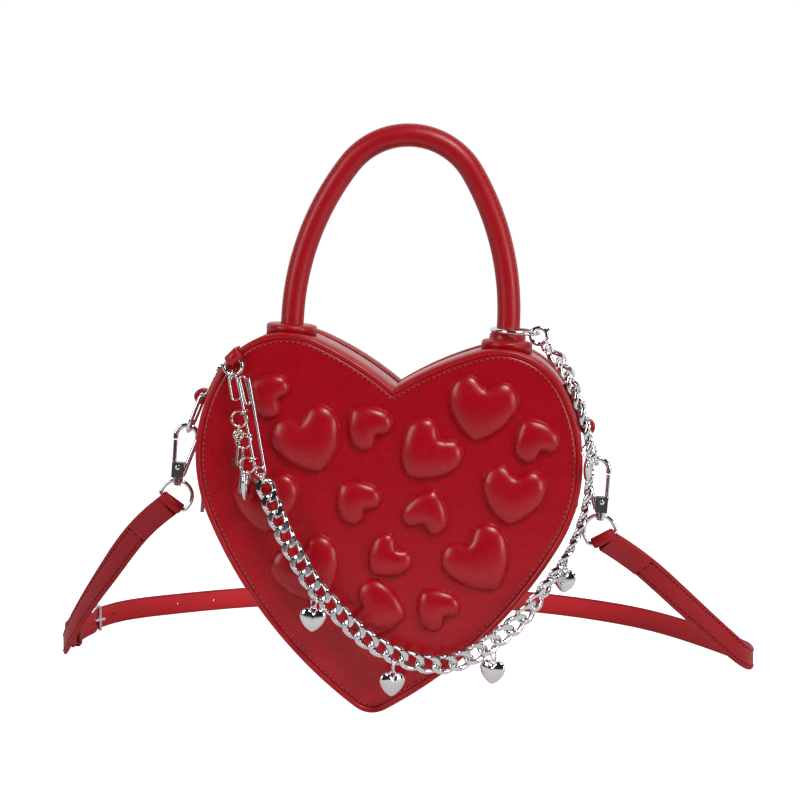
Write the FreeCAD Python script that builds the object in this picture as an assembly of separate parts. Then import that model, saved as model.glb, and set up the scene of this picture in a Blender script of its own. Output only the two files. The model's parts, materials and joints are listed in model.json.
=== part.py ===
import FreeCAD, Part
import math
import os
from collections import namedtuple

Vector = FreeCAD.Vector

# Heart outline of the bag, in mm: heights from a level just above the tip, mid-plane at x = 0
bag_half_width = 100.2
bag_widest_height = 128.5
bag_side_radius = 82.0
bag_lobe_spread = 55.0
bag_lobe_height = 190.5
bag_notch_height = 166.0
bag_lobe_roll = 20.0
bag_lower_radius = 235.0
bag_tip_radius = 14.5
bag_tip_height = -4.2

# Shell of the bag
bag_depth = 60.0
piping_radius = 1.6
panel_thickness = 2.4
board_thickness = 1.4
lining_thickness = 0.6
gusset_thickness = 1.8
stack_clearance = 0.2
board_inset = 8.0
pocket_half_width = 45.0
pocket_low = 62.0
pocket_high = 128.0
pocket_thickness = 0.8

# Raised hearts moulded in the front panel: x, height, width, turn clockwise in degrees
pillow_rise = 4.2
pillow_places = [
    (-65.5, 158.7, 23.0, 108.0),
    (-41.1, 135.3, 35.0, -36.0),
    (-12.2, 146.8, 23.0, 132.0),
    (19.7, 134.1, 31.5, 32.0),
    (46.0, 159.0, 35.0, 8.0),
    (74.0, 146.8, 22.5, 149.0),
    (65.4, 115.6, 32.0, 5.0),
    (-15.3, 107.8, 23.0, 134.0),
    (22.3, 104.7, 22.7, 195.0),
    (-61.3, 101.7, 33.0, -5.0),
    (-36.7, 67.4, 36.0, -28.0),
    (3.1, 77.8, 23.0, 30.0),
    (1.8, 51.7, 27.5, -77.0),
    (30.0, 55.2, 22.0, 132.0),
    (51.5, 80.3, 35.0, -36.0),
]

# Zip in the upper gusset
zip_end_height = 110.0
zip_plane_y = 12.0
zip_slot_width = 13.0
zip_tape_thickness = 0.8
zip_tape_width = 7.6
zip_row_width = 1.6
zip_row_height = 2.4
zip_row_parting = 1.6
zip_row_inset = 1.2
zip_tab_length = 10.0
zip_tab_thickness = 1.7

# Zip slider and its key
slider_width = 9.0
slider_length = 11.0
slider_plate = 1.2
slider_clearance = 0.3
slider_post = 1.0
bridge_wire = 0.8
bridge_rise = 4.2
key_wire = 1.1
key_length = 27.0
key_eye_radius = 2.6
key_eye_wire = 0.7

# Handle
handle_plane_y = -12.0
handle_half_span = 56.2
handle_apex_height = 296.0
handle_leg_straight = 9.5
handle_top_radius = 38.5
handle_radius = 6.0
handle_bore_radius = 4.8
handle_core_radius = 4.6
base_disc_radius = 13.3
base_disc_height = 3.8
base_rim_round = 1.7
base_neck_radius = 9.4
base_neck_height = 3.6
base_web = 2.4
screw_radius = 2.0
screw_head_radius = 4.0
screw_head_height = 2.2
screw_reach = 10.0
washer_radius = 7.0
washer_margin = 2.0
washer_thickness = 1.2
bore_clearance = 0.25

# Ring round the right handle foot, which takes the chain's clasp
foot_ring_radius = 12.0
foot_ring_wire = 1.2
foot_ring_turn = -18.0
foot_ring_ease = 1.0

# Side tabs, D-rings and trigger hooks of the shoulder strap
tab_plane_y = -10.0
tab_angle = 16.2
tab_width = 9.6
tab_leather = 2.2
tab_loop_radius = 4.1
tab_tail_angle = 17.0
rivet_radius = 2.4
rivet_height = 1.0
rivet_shank_radius = 1.0
rivet_share = 0.68
dring_wire = 1.2
dring_half_width = 7.6
dring_leg = 12.6
dring_lean = 18.5
hook_wire = 1.4
hook_block_shift = 0.6
hook_nose_length = 1.6
hook_bar_tuck = 0.56
hook_bow_radius = 5.8
hook_bow_offset = 0.8
hook_block_drop = 16.6
hook_block_width = 6.4
hook_block_height = 5.4
hook_cheek = 1.3
gate_wire = 1.15
gate_pin_radius = 0.8
gate_clearance = 0.3
swivel_post_radius = 1.2
swivel_head_radius = 2.1
swivel_head_height = 1.1
swivel_boss_radius = 2.7
swivel_boss_height = 2.6
strap_ring_radius = 8.2
strap_ring_bar_drop = 4.6
strap_ring_corner = 2.4
strap_ring_wire = 1.1
strap_ring_tilt = 32.0

# Shoulder strap: centre line from the left ring bar to the right one, lying on a floor that
# falls to the left, because the bag leans to its right where it stands
strap_width = 13.0
strap_thickness = 2.4
strap_step = 15.0
strap_fold_radius = 3.0
strap_fold_lap = 1.0
buckle_fold_lap = 0.6
buckle_fold_radius = 2.6
strap_twist_start = 15.0
strap_twist_end = 125.0
strap_route_left = [
    (-134.0, 8.0, 75.0),
    (-152.0, 29.0, 50.0),
    (-168.0, 50.0, 26.0),
    (-181.0, 69.0, 4.0),
    (-189.0, 90.0, -9.5),
    (-193.0, 115.0, -11.4),
    (-193.0, 145.0, -11.5),
    (-187.0, 175.0, -11.1),
    (-174.0, 199.0, -10.2),
    (-150.0, 219.0, -8.5),
    (-110.0, 243.0, -5.6),
    (-55.0, 259.0, -1.6),
]
strap_route_right = [
    (0.0, 262.0, 2.3),
    (50.0, 254.0, 5.9),
    (91.0, 239.0, 8.8),
    (122.0, 220.0, 11.0),
    (148.0, 197.0, 12.9),
    (167.0, 172.0, 14.3),
    (183.0, 146.0, 15.4),
    (198.0, 118.0, 16.5),
    (206.0, 97.0, 17.1),
    (203.0, 78.0, 19.5),
    (187.0, 61.0, 33.0),
    (159.0, 33.0, 58.5),
    (136.0, 11.0, 79.0),
]
floor_slope = 0.0717

# Buckle that joins the strap's two lengths
buckle_at = 232.0
buckle_length = 12.5
buckle_rise = 3.4
buckle_wire = 1.1
buckle_half_width = 8.8
buckle_corner = 2.0
prong_wire = 0.8
prong_eye_radius = 2.0
tail_length = 48.0
tail_lift = 4.2
tail_dip = 0.8
strap_hole_radius = 1.9
prong_crossing = 0.54
strap_hole_count = 5
strap_hole_pitch = 25.0
keeper_at = 200.0
keeper_width = 8.0
keeper_thickness = 1.4

# Leather tab and ring that hold the pin at the front left of the rim
charm_tab_angle = 139.0
charm_tab_width = 8.0
charm_tab_thickness = 1.6
charm_tab_reach = 1.5
o_ring_radius = 4.7
o_ring_wire = 0.9

# Pin with its clasp
pin_plane_y = -38.6
pin_wire = 0.7
pin_coil_radius = 2.4
pin_coil_place = (-64.2, 119.2)
pin_fixed_top = (-78.4, 163.7)
pin_free_top = (-73.4, 166.7)
clasp_wire = 0.6
clasp_eye_radius = 2.7
clasp_corner = 1.4
clasp_left_loop = [(-84.0, 166.1), (-80.4, 167.7), (-76.6, 155.7), (-81.2, 154.5)]
clasp_right_loop = [(-79.0, 167.9), (-75.4, 166.7), (-71.4, 153.7), (-74.2, 152.9)]

# Curb chain
link_half_length = 5.5
link_half_width = 3.9
link_twist = 1.6
link_wire = 1.1
link_play = 0.3
chain_join_radius = 3.0
chain_join_wire = 0.6
chain_route = [
    (-57.3, -41.0, 104.0),
    (-48.0, -41.0, 85.6),
    (-39.4, -41.0, 72.2),
    (-30.2, -41.0, 60.0),
    (-18.8, -41.0, 49.6),
    (-6.9, -41.0, 39.3),
    (6.5, -41.0, 32.2),
    (24.9, -41.0, 27.2),
    (45.4, -41.0, 30.1),
    (61.1, -40.8, 41.5),
    (73.6, -39.5, 52.7),
    (83.5, -36.8, 67.3),
    (93.3, -31.5, 82.9),
    (100.0, -27.0, 98.0),
    (103.2, -25.0, 111.0),
    (104.0, -24.5, 124.5),
    (103.6, -24.5, 137.0),
    (100.8, -24.5, 152.0),
    (95.9, -24.5, 165.5),
    (89.8, -22.8, 178.0),
    (84.0, -20.0, 186.2),
]
# Lengths along the chain between which its links turn to lie flat on the right side, and part back
chain_turn = (155.0, 245.0)
chain_return = 300.0
chain_return_angle = 40.0
hand_clasp_radius = 4.2
hand_clasp_wire = 1.1
hand_clasp_tail = 2.7
hand_clasp_tail_wire = 0.7
hand_clasp_fall = (0.62, -0.12, -0.78)

# Heart charms on the chain: x and height near which each one hangs
charm_places = [(-31.0, 61.0), (15.5, 29.0), (60.5, 41.0), (93.0, 83.0), (103.2, 142.0)]
charm_width = 12.6
charm_rise = 2.0
charm_turns = [75.0, 75.0, 75.0, 75.0, 35.0]
charm_bail_radius = 3.9
charm_bail_wire = 0.5
charm_eye_radius = 1.5
charm_eye_wire = 0.45
charm_fall = (0.3, -0.2, -0.95)

# Charms on the pin: height where each hangs on the fixed arm
pin_charm_heights = [149.0, 137.0, 125.0]
pin_link_radius = 1.9
pin_link_wire = 0.45
pin_ring_radius = 4.0
pin_ring_wire = 0.55
pin_ring_sides = [60.0, 45.0, 60.0]
pin_ring_facings = [-1, 1, -1]
pin_key_length = 20.0
pin_key_bow_radius = 2.1
pin_key_bow_wire = 0.9
pin_key_stem_radius = 0.7
pin_key_collar = 1.3
pin_key_bit = 2.6
pin_bar_length = 23.0
pin_bar_radius = 0.8
pin_bar_bit_half = 0.56
pin_bar_bit = 2.4
pin_heart_width = 11.5

Heart = namedtuple(
    "Heart",
    "half_width widest side_radius lobe_x lobe_z notch lobe_roll low_radius tip_radius tip_height",
)
bag_heart = Heart(
    bag_half_width, bag_widest_height, bag_side_radius, bag_lobe_spread, bag_lobe_height,
    bag_notch_height, bag_lobe_roll, bag_lower_radius, bag_tip_radius, bag_tip_height,
)
# A plump heart of width 1, for the raised hearts and the charms
plump_heart = Heart(0.5, 0.60, 0.34, 0.26, 0.90, 0.76, 32.0, 1.2, 0.16, 0.0)
# Share of the width drawn in, and share of the rise, from the foot of a dome to its top
dome_steps = [(0.0, 0.0), (0.02, 0.38), (0.06, 0.76), (0.13, 1.0)]

front_y = -bag_depth / 2
back_y = bag_depth / 2
axis_x = Vector(1, 0, 0)
axis_y = Vector(0, 1, 0)
axis_z = Vector(0, 0, 1)


def on_circle(cx, cz, radius, degrees, y):
    angle = math.radians(degrees)
    return Vector(cx + radius * math.cos(angle), y, cz + radius * math.sin(angle))


def unit(vector):
    return vector * (1.0 / vector.Length)


def fuse(shapes):
    return shapes[0].multiFuse(shapes[1:])


# Wires and tubes
def arc_tube(centre, axis, start, degrees, radius):
    heading = axis.cross(start - centre)
    disc = Part.Face(Part.Wire(Part.makeCircle(radius, start, heading)))
    return disc.revolve(centre, axis, degrees)


def rod(start, end, radius):
    return Part.makeCylinder(radius, (end - start).Length, start, end - start)


def tangent_arc_tube(start, heading, end, radius):
    chord = end - start
    aside = chord - heading * chord.dot(heading)
    inward = unit(aside)
    bend = chord.Length ** 2 / (2 * aside.Length)
    degrees = 2 * math.degrees(math.atan2(aside.Length, chord.dot(heading)))
    return arc_tube(start + inward * bend, heading.cross(inward), start, degrees, radius)


# Tube along straight runs with rounded corners
def bent_wire(points, radius, bend, closed):
    count = len(points)
    first = 0 if closed else 1
    last = count if closed else count - 1
    corners = {}
    for i in range(first, last):
        before = unit(points[i] - points[i - 1])
        after = unit(points[(i + 1) % count] - points[i])
        turn = before.getAngle(after)
        trim = bend * math.tan(turn / 2)
        axis = unit(before.cross(after))
        start = points[i] - before * trim
        corners[i] = (start, points[i] + after * trim, axis, math.degrees(turn))
    solids = []
    for i, (start, end, axis, degrees) in corners.items():
        before = unit(points[i] - points[i - 1])
        centre = start + axis.cross(before) * bend
        solids.append(arc_tube(centre, axis, start, degrees, radius))
    for i in range(count if closed else count - 1):
        j = (i + 1) % count
        start = corners[i][1] if i in corners else points[i]
        end = corners[j][0] if j in corners else points[j]
        solids.append(rod(start, end, radius))
    return fuse(solids)


def ring(centre, normal, radius, wire):
    return Part.makeTorus(radius, wire, centre, normal)


def box(low, high):
    size = high - low
    return Part.makeBox(size.x, size.y, size.z, low)


# Block between two radii and two angles about a centre, with its length along Y
def sector(centre, radii, degrees, depths):
    inner, outer = radii
    low, high = degrees
    near, far = depths
    mid = (low + high) / 2
    cx, cz = centre
    outer_arc = Part.Arc(
        on_circle(cx, cz, outer, low, near), on_circle(cx, cz, outer, mid, near),
        on_circle(cx, cz, outer, high, near),
    ).toShape()
    inner_arc = Part.Arc(
        on_circle(cx, cz, inner, high, near), on_circle(cx, cz, inner, mid, near),
        on_circle(cx, cz, inner, low, near),
    ).toShape()
    sides = [
        Part.makeLine(on_circle(cx, cz, outer, high, near), on_circle(cx, cz, inner, high, near)),
        Part.makeLine(on_circle(cx, cz, inner, low, near), on_circle(cx, cz, outer, low, near)),
    ]
    outline = Part.Wire([outer_arc, sides[0], inner_arc, sides[1]])
    return Part.Face(outline).extrude(Vector(0, far - near, 0))


# Heart outlines: arcs (centre x, centre z, radius, first angle, last angle) round from the tip
def side_circle(heart):
    return (heart.half_width - heart.side_radius, heart.widest)


def lobe_circle(heart):
    cx, cz = side_circle(heart)
    drop = heart.side_radius - (heart.lobe_z - heart.widest)
    reach = heart.lobe_x - cx
    step = (reach ** 2 + drop ** 2) / (2 * drop)
    radius = heart.side_radius - step
    return (heart.lobe_x, heart.lobe_z - radius, radius)


def heart_arcs(heart, inset):
    sx, sz = side_circle(heart)
    lx, lz, lobe_radius = lobe_circle(heart)
    lobe_from = math.degrees(math.atan2(lz - sz, lx - sx))
    roll = math.radians(heart.lobe_roll)
    nx, nz = -math.sin(roll), math.cos(roll)
    px, pz = lx + lobe_radius * nx, lz + lobe_radius * nz
    gx, gz = px, pz - heart.notch
    inner_radius = (gx ** 2 + gz ** 2) / (2 * (gx * nx + gz * nz))
    ix, iz = px - inner_radius * nx, pz - inner_radius * nz
    notch_angle = math.degrees(math.acos(-ix / (inner_radius - inset)))
    # The lower side's circle touches the side circle and the tip circle from outside
    side_reach = heart.low_radius - heart.side_radius
    tip_reach = heart.low_radius - heart.tip_radius
    tip_z = heart.tip_height + heart.tip_radius
    dx, dz = -sx, tip_z - sz
    span = math.hypot(dx, dz)
    along = (side_reach ** 2 - tip_reach ** 2 + span ** 2) / (2 * span)
    across = math.sqrt(side_reach ** 2 - along ** 2)
    cx = sx + along * dx / span + across * dz / span
    cz = sz + along * dz / span - across * dx / span
    low_from = math.degrees(math.atan2(tip_z - cz, -cx))
    low_to = math.degrees(math.atan2(sz - cz, sx - cx))
    right = [
        (cx, cz, heart.low_radius - inset, low_from, low_to),
        (sx, sz, heart.side_radius - inset, low_to, lobe_from),
        (lx, lz, lobe_radius - inset, lobe_from, 90 + heart.lobe_roll),
        (ix, iz, inner_radius - inset, 90 + heart.lobe_roll, notch_angle),
    ]
    tip = (0.0, tip_z, heart.tip_radius - inset, -180 - low_from, low_from)
    left = [(-x, z, r, 180 - b, 180 - a) for x, z, r, a, b in reversed(right)]
    return [tip] + right + left


def heart_wire(heart, inset, y):
    edges = []
    for cx, cz, radius, low, high in heart_arcs(heart, inset):
        points = [on_circle(cx, cz, radius, a, y) for a in (low, (low + high) / 2, high)]
        edges.append(Part.Arc(*points).toShape())
    return Part.Wire(edges)


def heart_slab(inset, near, far):
    return Part.Face(heart_wire(bag_heart, inset, near)).extrude(Vector(0, far - near, 0))


def heart_band(outer, inner, near, far):
    return heart_slab(outer, near, far).cut(heart_slab(inner, near, far))


def above(shape, height):
    low = Vector(-2 * bag_half_width, -bag_depth, height)
    high = Vector(2 * bag_half_width, bag_depth, 2 * bag_lobe_height)
    return shape.common(box(low, high))


def below(shape, height):
    low = Vector(-2 * bag_half_width, -bag_depth, -bag_depth)
    high = Vector(2 * bag_half_width, bag_depth, height)
    return shape.common(box(low, high))


# Domed heart standing on the plane y = 0 and rising towards -Y, tip at the origin
def dome(width, rise):
    sized = Heart(*[
        value if name == "lobe_roll" else value * width
        for name, value in zip(Heart._fields, plump_heart)
    ])
    wires = [heart_wire(sized, draw * width, -share * rise) for draw, share in dome_steps]
    return Part.makeLoft(wires, True, True)


# Pieces of the bag's shell
def front_panel():
    inset = 2 * piping_radius + stack_clearance
    pieces = [heart_slab(inset, front_y, front_y + panel_thickness)]
    for x, z, width, turn in pillow_places:
        pillow = dome(width, pillow_rise)
        pillow.translate(Vector(0, 0, -width * plump_heart.lobe_z / 2))
        pillow.rotate(Vector(0, 0, 0), axis_y, turn)
        pillow.translate(Vector(x, front_y, z))
        pieces.append(pillow)
    return fuse(pieces)


def back_panel():
    inset = 2 * piping_radius + stack_clearance
    return heart_slab(inset, back_y - panel_thickness, back_y)


def piping(y):
    tubes = []
    for cx, cz, radius, low, high in heart_arcs(bag_heart, piping_radius):
        start = on_circle(cx, cz, radius, low, y)
        tubes.append(arc_tube(Vector(cx, y, cz), -axis_y, start, high - low, piping_radius))
    return fuse(tubes)


def stiffener(face_y, inward):
    near = face_y + inward * (panel_thickness + stack_clearance)
    far = near + inward * board_thickness
    return heart_slab(board_inset, min(near, far), max(near, far))


def lining(face_y, inward):
    near = face_y + inward * (panel_thickness + board_thickness + 2 * stack_clearance)
    far = near + inward * lining_thickness
    return heart_slab(board_inset, min(near, far), max(near, far))


gusset_front_edge = front_y + 2 * piping_radius + stack_clearance
gusset_back_edge = back_y - 2 * piping_radius - stack_clearance
slot_front = zip_plane_y - zip_slot_width / 2
slot_back = zip_plane_y + zip_slot_width / 2
tape_inset = gusset_thickness + stack_clearance
row_front = zip_plane_y - zip_row_parting / 2
row_back = zip_plane_y + zip_row_parting / 2

lobe_x, lobe_z, lobe_radius = lobe_circle(bag_heart)
side_x, side_z = side_circle(bag_heart)


# Height of the gusset's outer face under the handle
def gusset_top(x):
    return lobe_z + math.sqrt(lobe_radius ** 2 - (x - lobe_x) ** 2)


foot_height = gusset_top(handle_half_span)
handle_spring_height = foot_height + handle_leg_straight


def upright(x, y, low, high, radius):
    return Part.makeCylinder(radius, high - low, Vector(x, y, low), axis_z)


def gusset_front():
    strip = above(heart_band(0, gusset_thickness, gusset_front_edge, slot_front), zip_end_height)
    for x in (-handle_half_span, handle_half_span):
        hole = upright(
            x, handle_plane_y, foot_height - bag_depth, foot_height + bag_depth,
            screw_radius + bore_clearance,
        )
        strip = strip.cut(hole)
    return strip


def gusset_rear():
    return above(heart_band(0, gusset_thickness, slot_back, gusset_back_edge), zip_end_height)


def gusset_lower():
    strip = heart_band(0, gusset_thickness, gusset_front_edge, gusset_back_edge)
    return below(strip, zip_end_height - stack_clearance)


def zip_tape(near, far):
    band = heart_band(tape_inset, tape_inset + zip_tape_thickness, near, far)
    return above(band, zip_end_height + zip_row_width)


def zip_row(near, far):
    band = heart_band(zip_row_inset, zip_row_inset + zip_row_height, near, far)
    return above(band, zip_end_height + zip_row_width)


def zip_end_tabs():
    rise = math.degrees(math.asin((zip_end_height - side_z) / bag_side_radius))
    drop = math.degrees(zip_tab_length / bag_side_radius)
    radii = (bag_side_radius + stack_clearance,
             bag_side_radius + stack_clearance + zip_tab_thickness)
    half = zip_slot_width / 2
    right = sector(
        (side_x, side_z), radii, (rise - drop, rise), (zip_plane_y - half, zip_plane_y + half)
    )
    return Part.makeCompound([right, right.mirror(Vector(), axis_x)])


def inner_pocket():
    far = back_y - panel_thickness - board_thickness - lining_thickness - 3 * stack_clearance
    near = far - pocket_thickness
    return box(
        Vector(-pocket_half_width, near, pocket_low), Vector(pocket_half_width, far, pocket_high)
    )


# Handle, its feet and what fastens them
def handle_path_tube(radius, foot):
    side_reach = handle_apex_height - handle_spring_height - handle_top_radius
    side_radius = (
        (handle_half_span ** 2 + side_reach ** 2 - handle_top_radius ** 2)
        / (2 * (handle_half_span - handle_top_radius))
    )
    side_centre = Vector(handle_half_span - side_radius, handle_plane_y, handle_spring_height)
    top_centre = Vector(0, handle_plane_y, handle_apex_height - handle_top_radius)
    sweep = math.degrees(math.atan2(top_centre.z - side_centre.z, top_centre.x - side_centre.x))
    spring = Vector(handle_half_span, handle_plane_y, handle_spring_height)
    right = arc_tube(side_centre, -axis_y, spring, sweep, radius)
    crown_start = on_circle(0, top_centre.z, handle_top_radius, sweep, handle_plane_y)
    crown = arc_tube(top_centre, -axis_y, crown_start, 180 - 2 * sweep, radius)
    leg = rod(Vector(handle_half_span, handle_plane_y, foot), spring, radius)
    mirrored = [shape.mirror(Vector(), axis_x) for shape in (leg, right)]
    return fuse([leg, right, crown] + mirrored)


leg_foot = foot_height + base_web


def handle_cover():
    outer = handle_path_tube(handle_radius, leg_foot)
    return outer.cut(handle_path_tube(handle_bore_radius, leg_foot - 1))


def handle_core():
    core = handle_path_tube(handle_core_radius, leg_foot)
    for x in (-handle_half_span, handle_half_span):
        hole = upright(
            x, handle_plane_y, leg_foot - 1, leg_foot + screw_reach + 1,
            screw_radius + bore_clearance,
        )
        core = core.cut(hole)
    return core


def handle_base(x, neck_height):
    low = foot_height - base_disc_radius
    disc_top = foot_height + base_disc_height
    foot = upright(x, handle_plane_y, low, disc_top, base_disc_radius)
    rim = [edge for edge in foot.Edges if edge.BoundBox.ZMin > disc_top - 0.01]
    foot = foot.makeFillet(base_rim_round, rim)
    if neck_height:
        neck = upright(x, handle_plane_y, disc_top, disc_top + neck_height, base_neck_radius)
        foot = foot.fuse(neck)
    foot = foot.cut(heart_slab(-stack_clearance, front_y, back_y))
    socket = upright(
        x, handle_plane_y, leg_foot - stack_clearance, handle_apex_height,
        handle_radius + bore_clearance,
    )
    hole = upright(x, handle_plane_y, low, disc_top, screw_radius + bore_clearance)
    return foot.cut(socket).cut(hole)


washer_sag = (lobe_radius - gusset_thickness) - math.sqrt(
    (lobe_radius - gusset_thickness) ** 2 - (washer_radius + washer_margin) ** 2
)
washer_top = foot_height - gusset_thickness - washer_sag - stack_clearance


def handle_washers():
    washers = []
    for x in (-handle_half_span, handle_half_span):
        low = washer_top - washer_thickness
        disc = upright(x, handle_plane_y, low, washer_top, washer_radius)
        hole = upright(x, handle_plane_y, low, washer_top, screw_radius + bore_clearance)
        washers.append(disc.cut(hole))
    return Part.makeCompound(washers)


def handle_screws():
    screws = []
    for x in (-handle_half_span, handle_half_span):
        seat = washer_top - washer_thickness - stack_clearance
        head = upright(x, handle_plane_y, seat - screw_head_height, seat, screw_head_radius)
        shank = upright(x, handle_plane_y, seat, leg_foot + screw_reach, screw_radius)
        screws.append(head.fuse(shank))
    return Part.makeCompound(screws)


foot_ring_height = foot_height + base_disc_height + base_neck_height + foot_ring_wire + stack_clearance
foot_ring_centre = Vector(
    handle_half_span + foot_ring_radius - foot_ring_wire - handle_radius - foot_ring_ease,
    handle_plane_y,
    foot_ring_height,
)


def chain_ring():
    return ring(foot_ring_centre, axis_z, foot_ring_radius, foot_ring_wire)


# Side tab on the gusset, its rivet and its D-ring; the left side is the mirror image
tab_loop_centre_radius = bag_side_radius + stack_clearance + tab_loop_radius
tab_loop = on_circle(side_x, side_z, tab_loop_centre_radius, tab_angle, tab_plane_y)
tab_depths = (tab_plane_y - tab_width / 2, tab_plane_y + tab_width / 2)
rivet_angle = tab_angle + tab_tail_angle * rivet_share


def side_tab():
    inner = bag_side_radius + stack_clearance
    tail = sector(
        (side_x, side_z), (inner, inner + tab_leather), (tab_angle, tab_angle + tab_tail_angle),
        tab_depths,
    )
    start = Vector(tab_loop.x, tab_depths[0], tab_loop.z)
    end = Vector(tab_loop.x, tab_depths[1], tab_loop.z)
    tunnel = rod(start, end, dring_wire + bore_clearance)
    tab = rod(start, end, tab_loop_radius).fuse(tail).cut(tunnel)
    return tab.cut(rivet_shank(rivet_shank_radius + bore_clearance / 2))


def rivet_line(radius):
    return on_circle(side_x, side_z, radius, rivet_angle, tab_plane_y)


def rivet_shank(radius):
    return rod(rivet_line(bag_side_radius), rivet_line(bag_side_radius + 2 * tab_leather), radius)


def side_rivet():
    seat = bag_side_radius + 2 * stack_clearance + tab_leather
    head = rod(rivet_line(seat), rivet_line(seat + rivet_height), rivet_radius)
    shank = rod(rivet_line(bag_side_radius + stack_clearance), rivet_line(seat), rivet_shank_radius)
    return head.fuse(shank)


lean = math.radians(dring_lean)
dring_down = Vector(math.sin(lean), 0, -math.cos(lean))
dring_arc_centre = tab_loop + dring_down * dring_leg


def d_ring():
    half = axis_y * dring_half_width
    corner_back = tab_loop + half
    corner_front = tab_loop - half
    bar = rod(corner_front, corner_back, dring_wire)
    legs = [rod(corner, corner + dring_down * dring_leg, dring_wire)
            for corner in (corner_front, corner_back)]
    knees = [Part.makeSphere(dring_wire, corner) for corner in (corner_front, corner_back)]
    start = dring_arc_centre - half
    bow = arc_tube(dring_arc_centre, axis_y.cross(dring_down) * -1, start, 180, dring_wire)
    return fuse([bar] + legs + knees + [bow])


# Trigger hook: bow round the D-ring, slanted back bar, cheeks for the gate, swivel post
dring_bottom = dring_arc_centre + dring_down * dring_half_width
bow_centre = Vector(
    dring_bottom.x + hook_bow_offset, tab_plane_y,
    dring_bottom.z + dring_wire + hook_wire + bore_clearance - hook_bow_radius,
)
block_centre = bow_centre + Vector(hook_bow_radius - hook_block_width / 2 + hook_wire - hook_block_shift,
                                   0, -hook_block_drop)
gate_pivot = Vector(block_centre.x, tab_plane_y, block_centre.z)
gate_line_x = bow_centre.x + hook_bow_radius
nose_height = bow_centre.z - hook_nose_length
block_low = block_centre.z - hook_block_height / 2
block_high = block_centre.z + hook_block_height / 2
cheek_gap = gate_wire + gate_clearance


def hook_frame():
    foot = Vector(block_centre.x - hook_block_width / 2 + hook_bar_tuck, tab_plane_y,
                  block_low - hook_wire)
    away = foot - bow_centre
    reach = math.atan2(away.z, away.x)
    spread = math.acos(hook_bow_radius / away.Length)
    touch_angle = math.degrees(reach - spread)
    touch = on_circle(bow_centre.x, bow_centre.z, hook_bow_radius, touch_angle, tab_plane_y)
    back_bar = rod(foot, touch, hook_wire)
    nose_start = bow_centre + axis_x * hook_bow_radius
    bow = arc_tube(bow_centre, -axis_y, nose_start, touch_angle % 360, hook_wire)
    nose = rod(Vector(nose_start.x, tab_plane_y, nose_height), nose_start, hook_wire)
    half = hook_block_width / 2
    plate = box(
        Vector(block_centre.x - half, tab_plane_y - cheek_gap - hook_cheek, block_low - 2 * hook_wire),
        Vector(block_centre.x + half, tab_plane_y + cheek_gap + hook_cheek, block_low),
    )
    cheeks = []
    for side in (-1, 1):
        near = tab_plane_y + side * cheek_gap
        far = near + side * hook_cheek
        cheeks.append(box(
            Vector(block_centre.x - half, min(near, far), block_low),
            Vector(block_centre.x + half, max(near, far), block_high),
        ))
    pin = rod(
        Vector(gate_pivot.x, tab_plane_y - cheek_gap - hook_cheek, gate_pivot.z),
        Vector(gate_pivot.x, tab_plane_y + cheek_gap + hook_cheek, gate_pivot.z),
        gate_pin_radius,
    )
    post_top = block_low - 2 * hook_wire
    post_low = post_top - swivel_boss_height - 2 * gate_clearance
    post = upright(block_centre.x, tab_plane_y, post_low, post_top, swivel_post_radius)
    head = upright(
        block_centre.x, tab_plane_y, post_low - swivel_head_height, post_low, swivel_head_radius
    )
    return fuse([bow, nose, back_bar, plate, pin, post, head] + cheeks)


def hook_gate():
    eye = rod(
        Vector(gate_pivot.x, tab_plane_y - gate_wire, gate_pivot.z),
        Vector(gate_pivot.x, tab_plane_y + gate_wire, gate_pivot.z),
        gate_pin_radius + bore_clearance + 1.0,
    )
    bar_foot = Vector(gate_line_x, tab_plane_y, gate_pivot.z + 1.0)
    bar_top = Vector(gate_line_x, tab_plane_y, nose_height - 2 * gate_clearance)
    bar = rod(bar_foot, bar_top, gate_wire)
    arm = rod(Vector(gate_pivot.x, tab_plane_y, gate_pivot.z), bar_foot, gate_wire)
    knee = Part.makeSphere(gate_wire, bar_foot)
    bore = rod(
        Vector(gate_pivot.x, tab_plane_y - 2 * gate_wire, gate_pivot.z),
        Vector(gate_pivot.x, tab_plane_y + 2 * gate_wire, gate_pivot.z),
        gate_pin_radius + bore_clearance,
    )
    return fuse([eye, arm, bar, knee]).cut(bore)


# Ring on the strap's end, hung on the swivel post
boss_centre = Vector(
    block_centre.x, tab_plane_y,
    block_low - 2 * hook_wire - gate_clearance - swivel_boss_height / 2,
)
ring_centre = boss_centre - axis_z * strap_ring_radius
tilt = math.radians(strap_ring_tilt)
ring_up = Vector(-math.sin(tilt), 0, math.cos(tilt))
ring_across = Vector(math.cos(tilt), 0, math.sin(tilt))
bar_centre = ring_centre - ring_up * strap_ring_bar_drop


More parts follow.
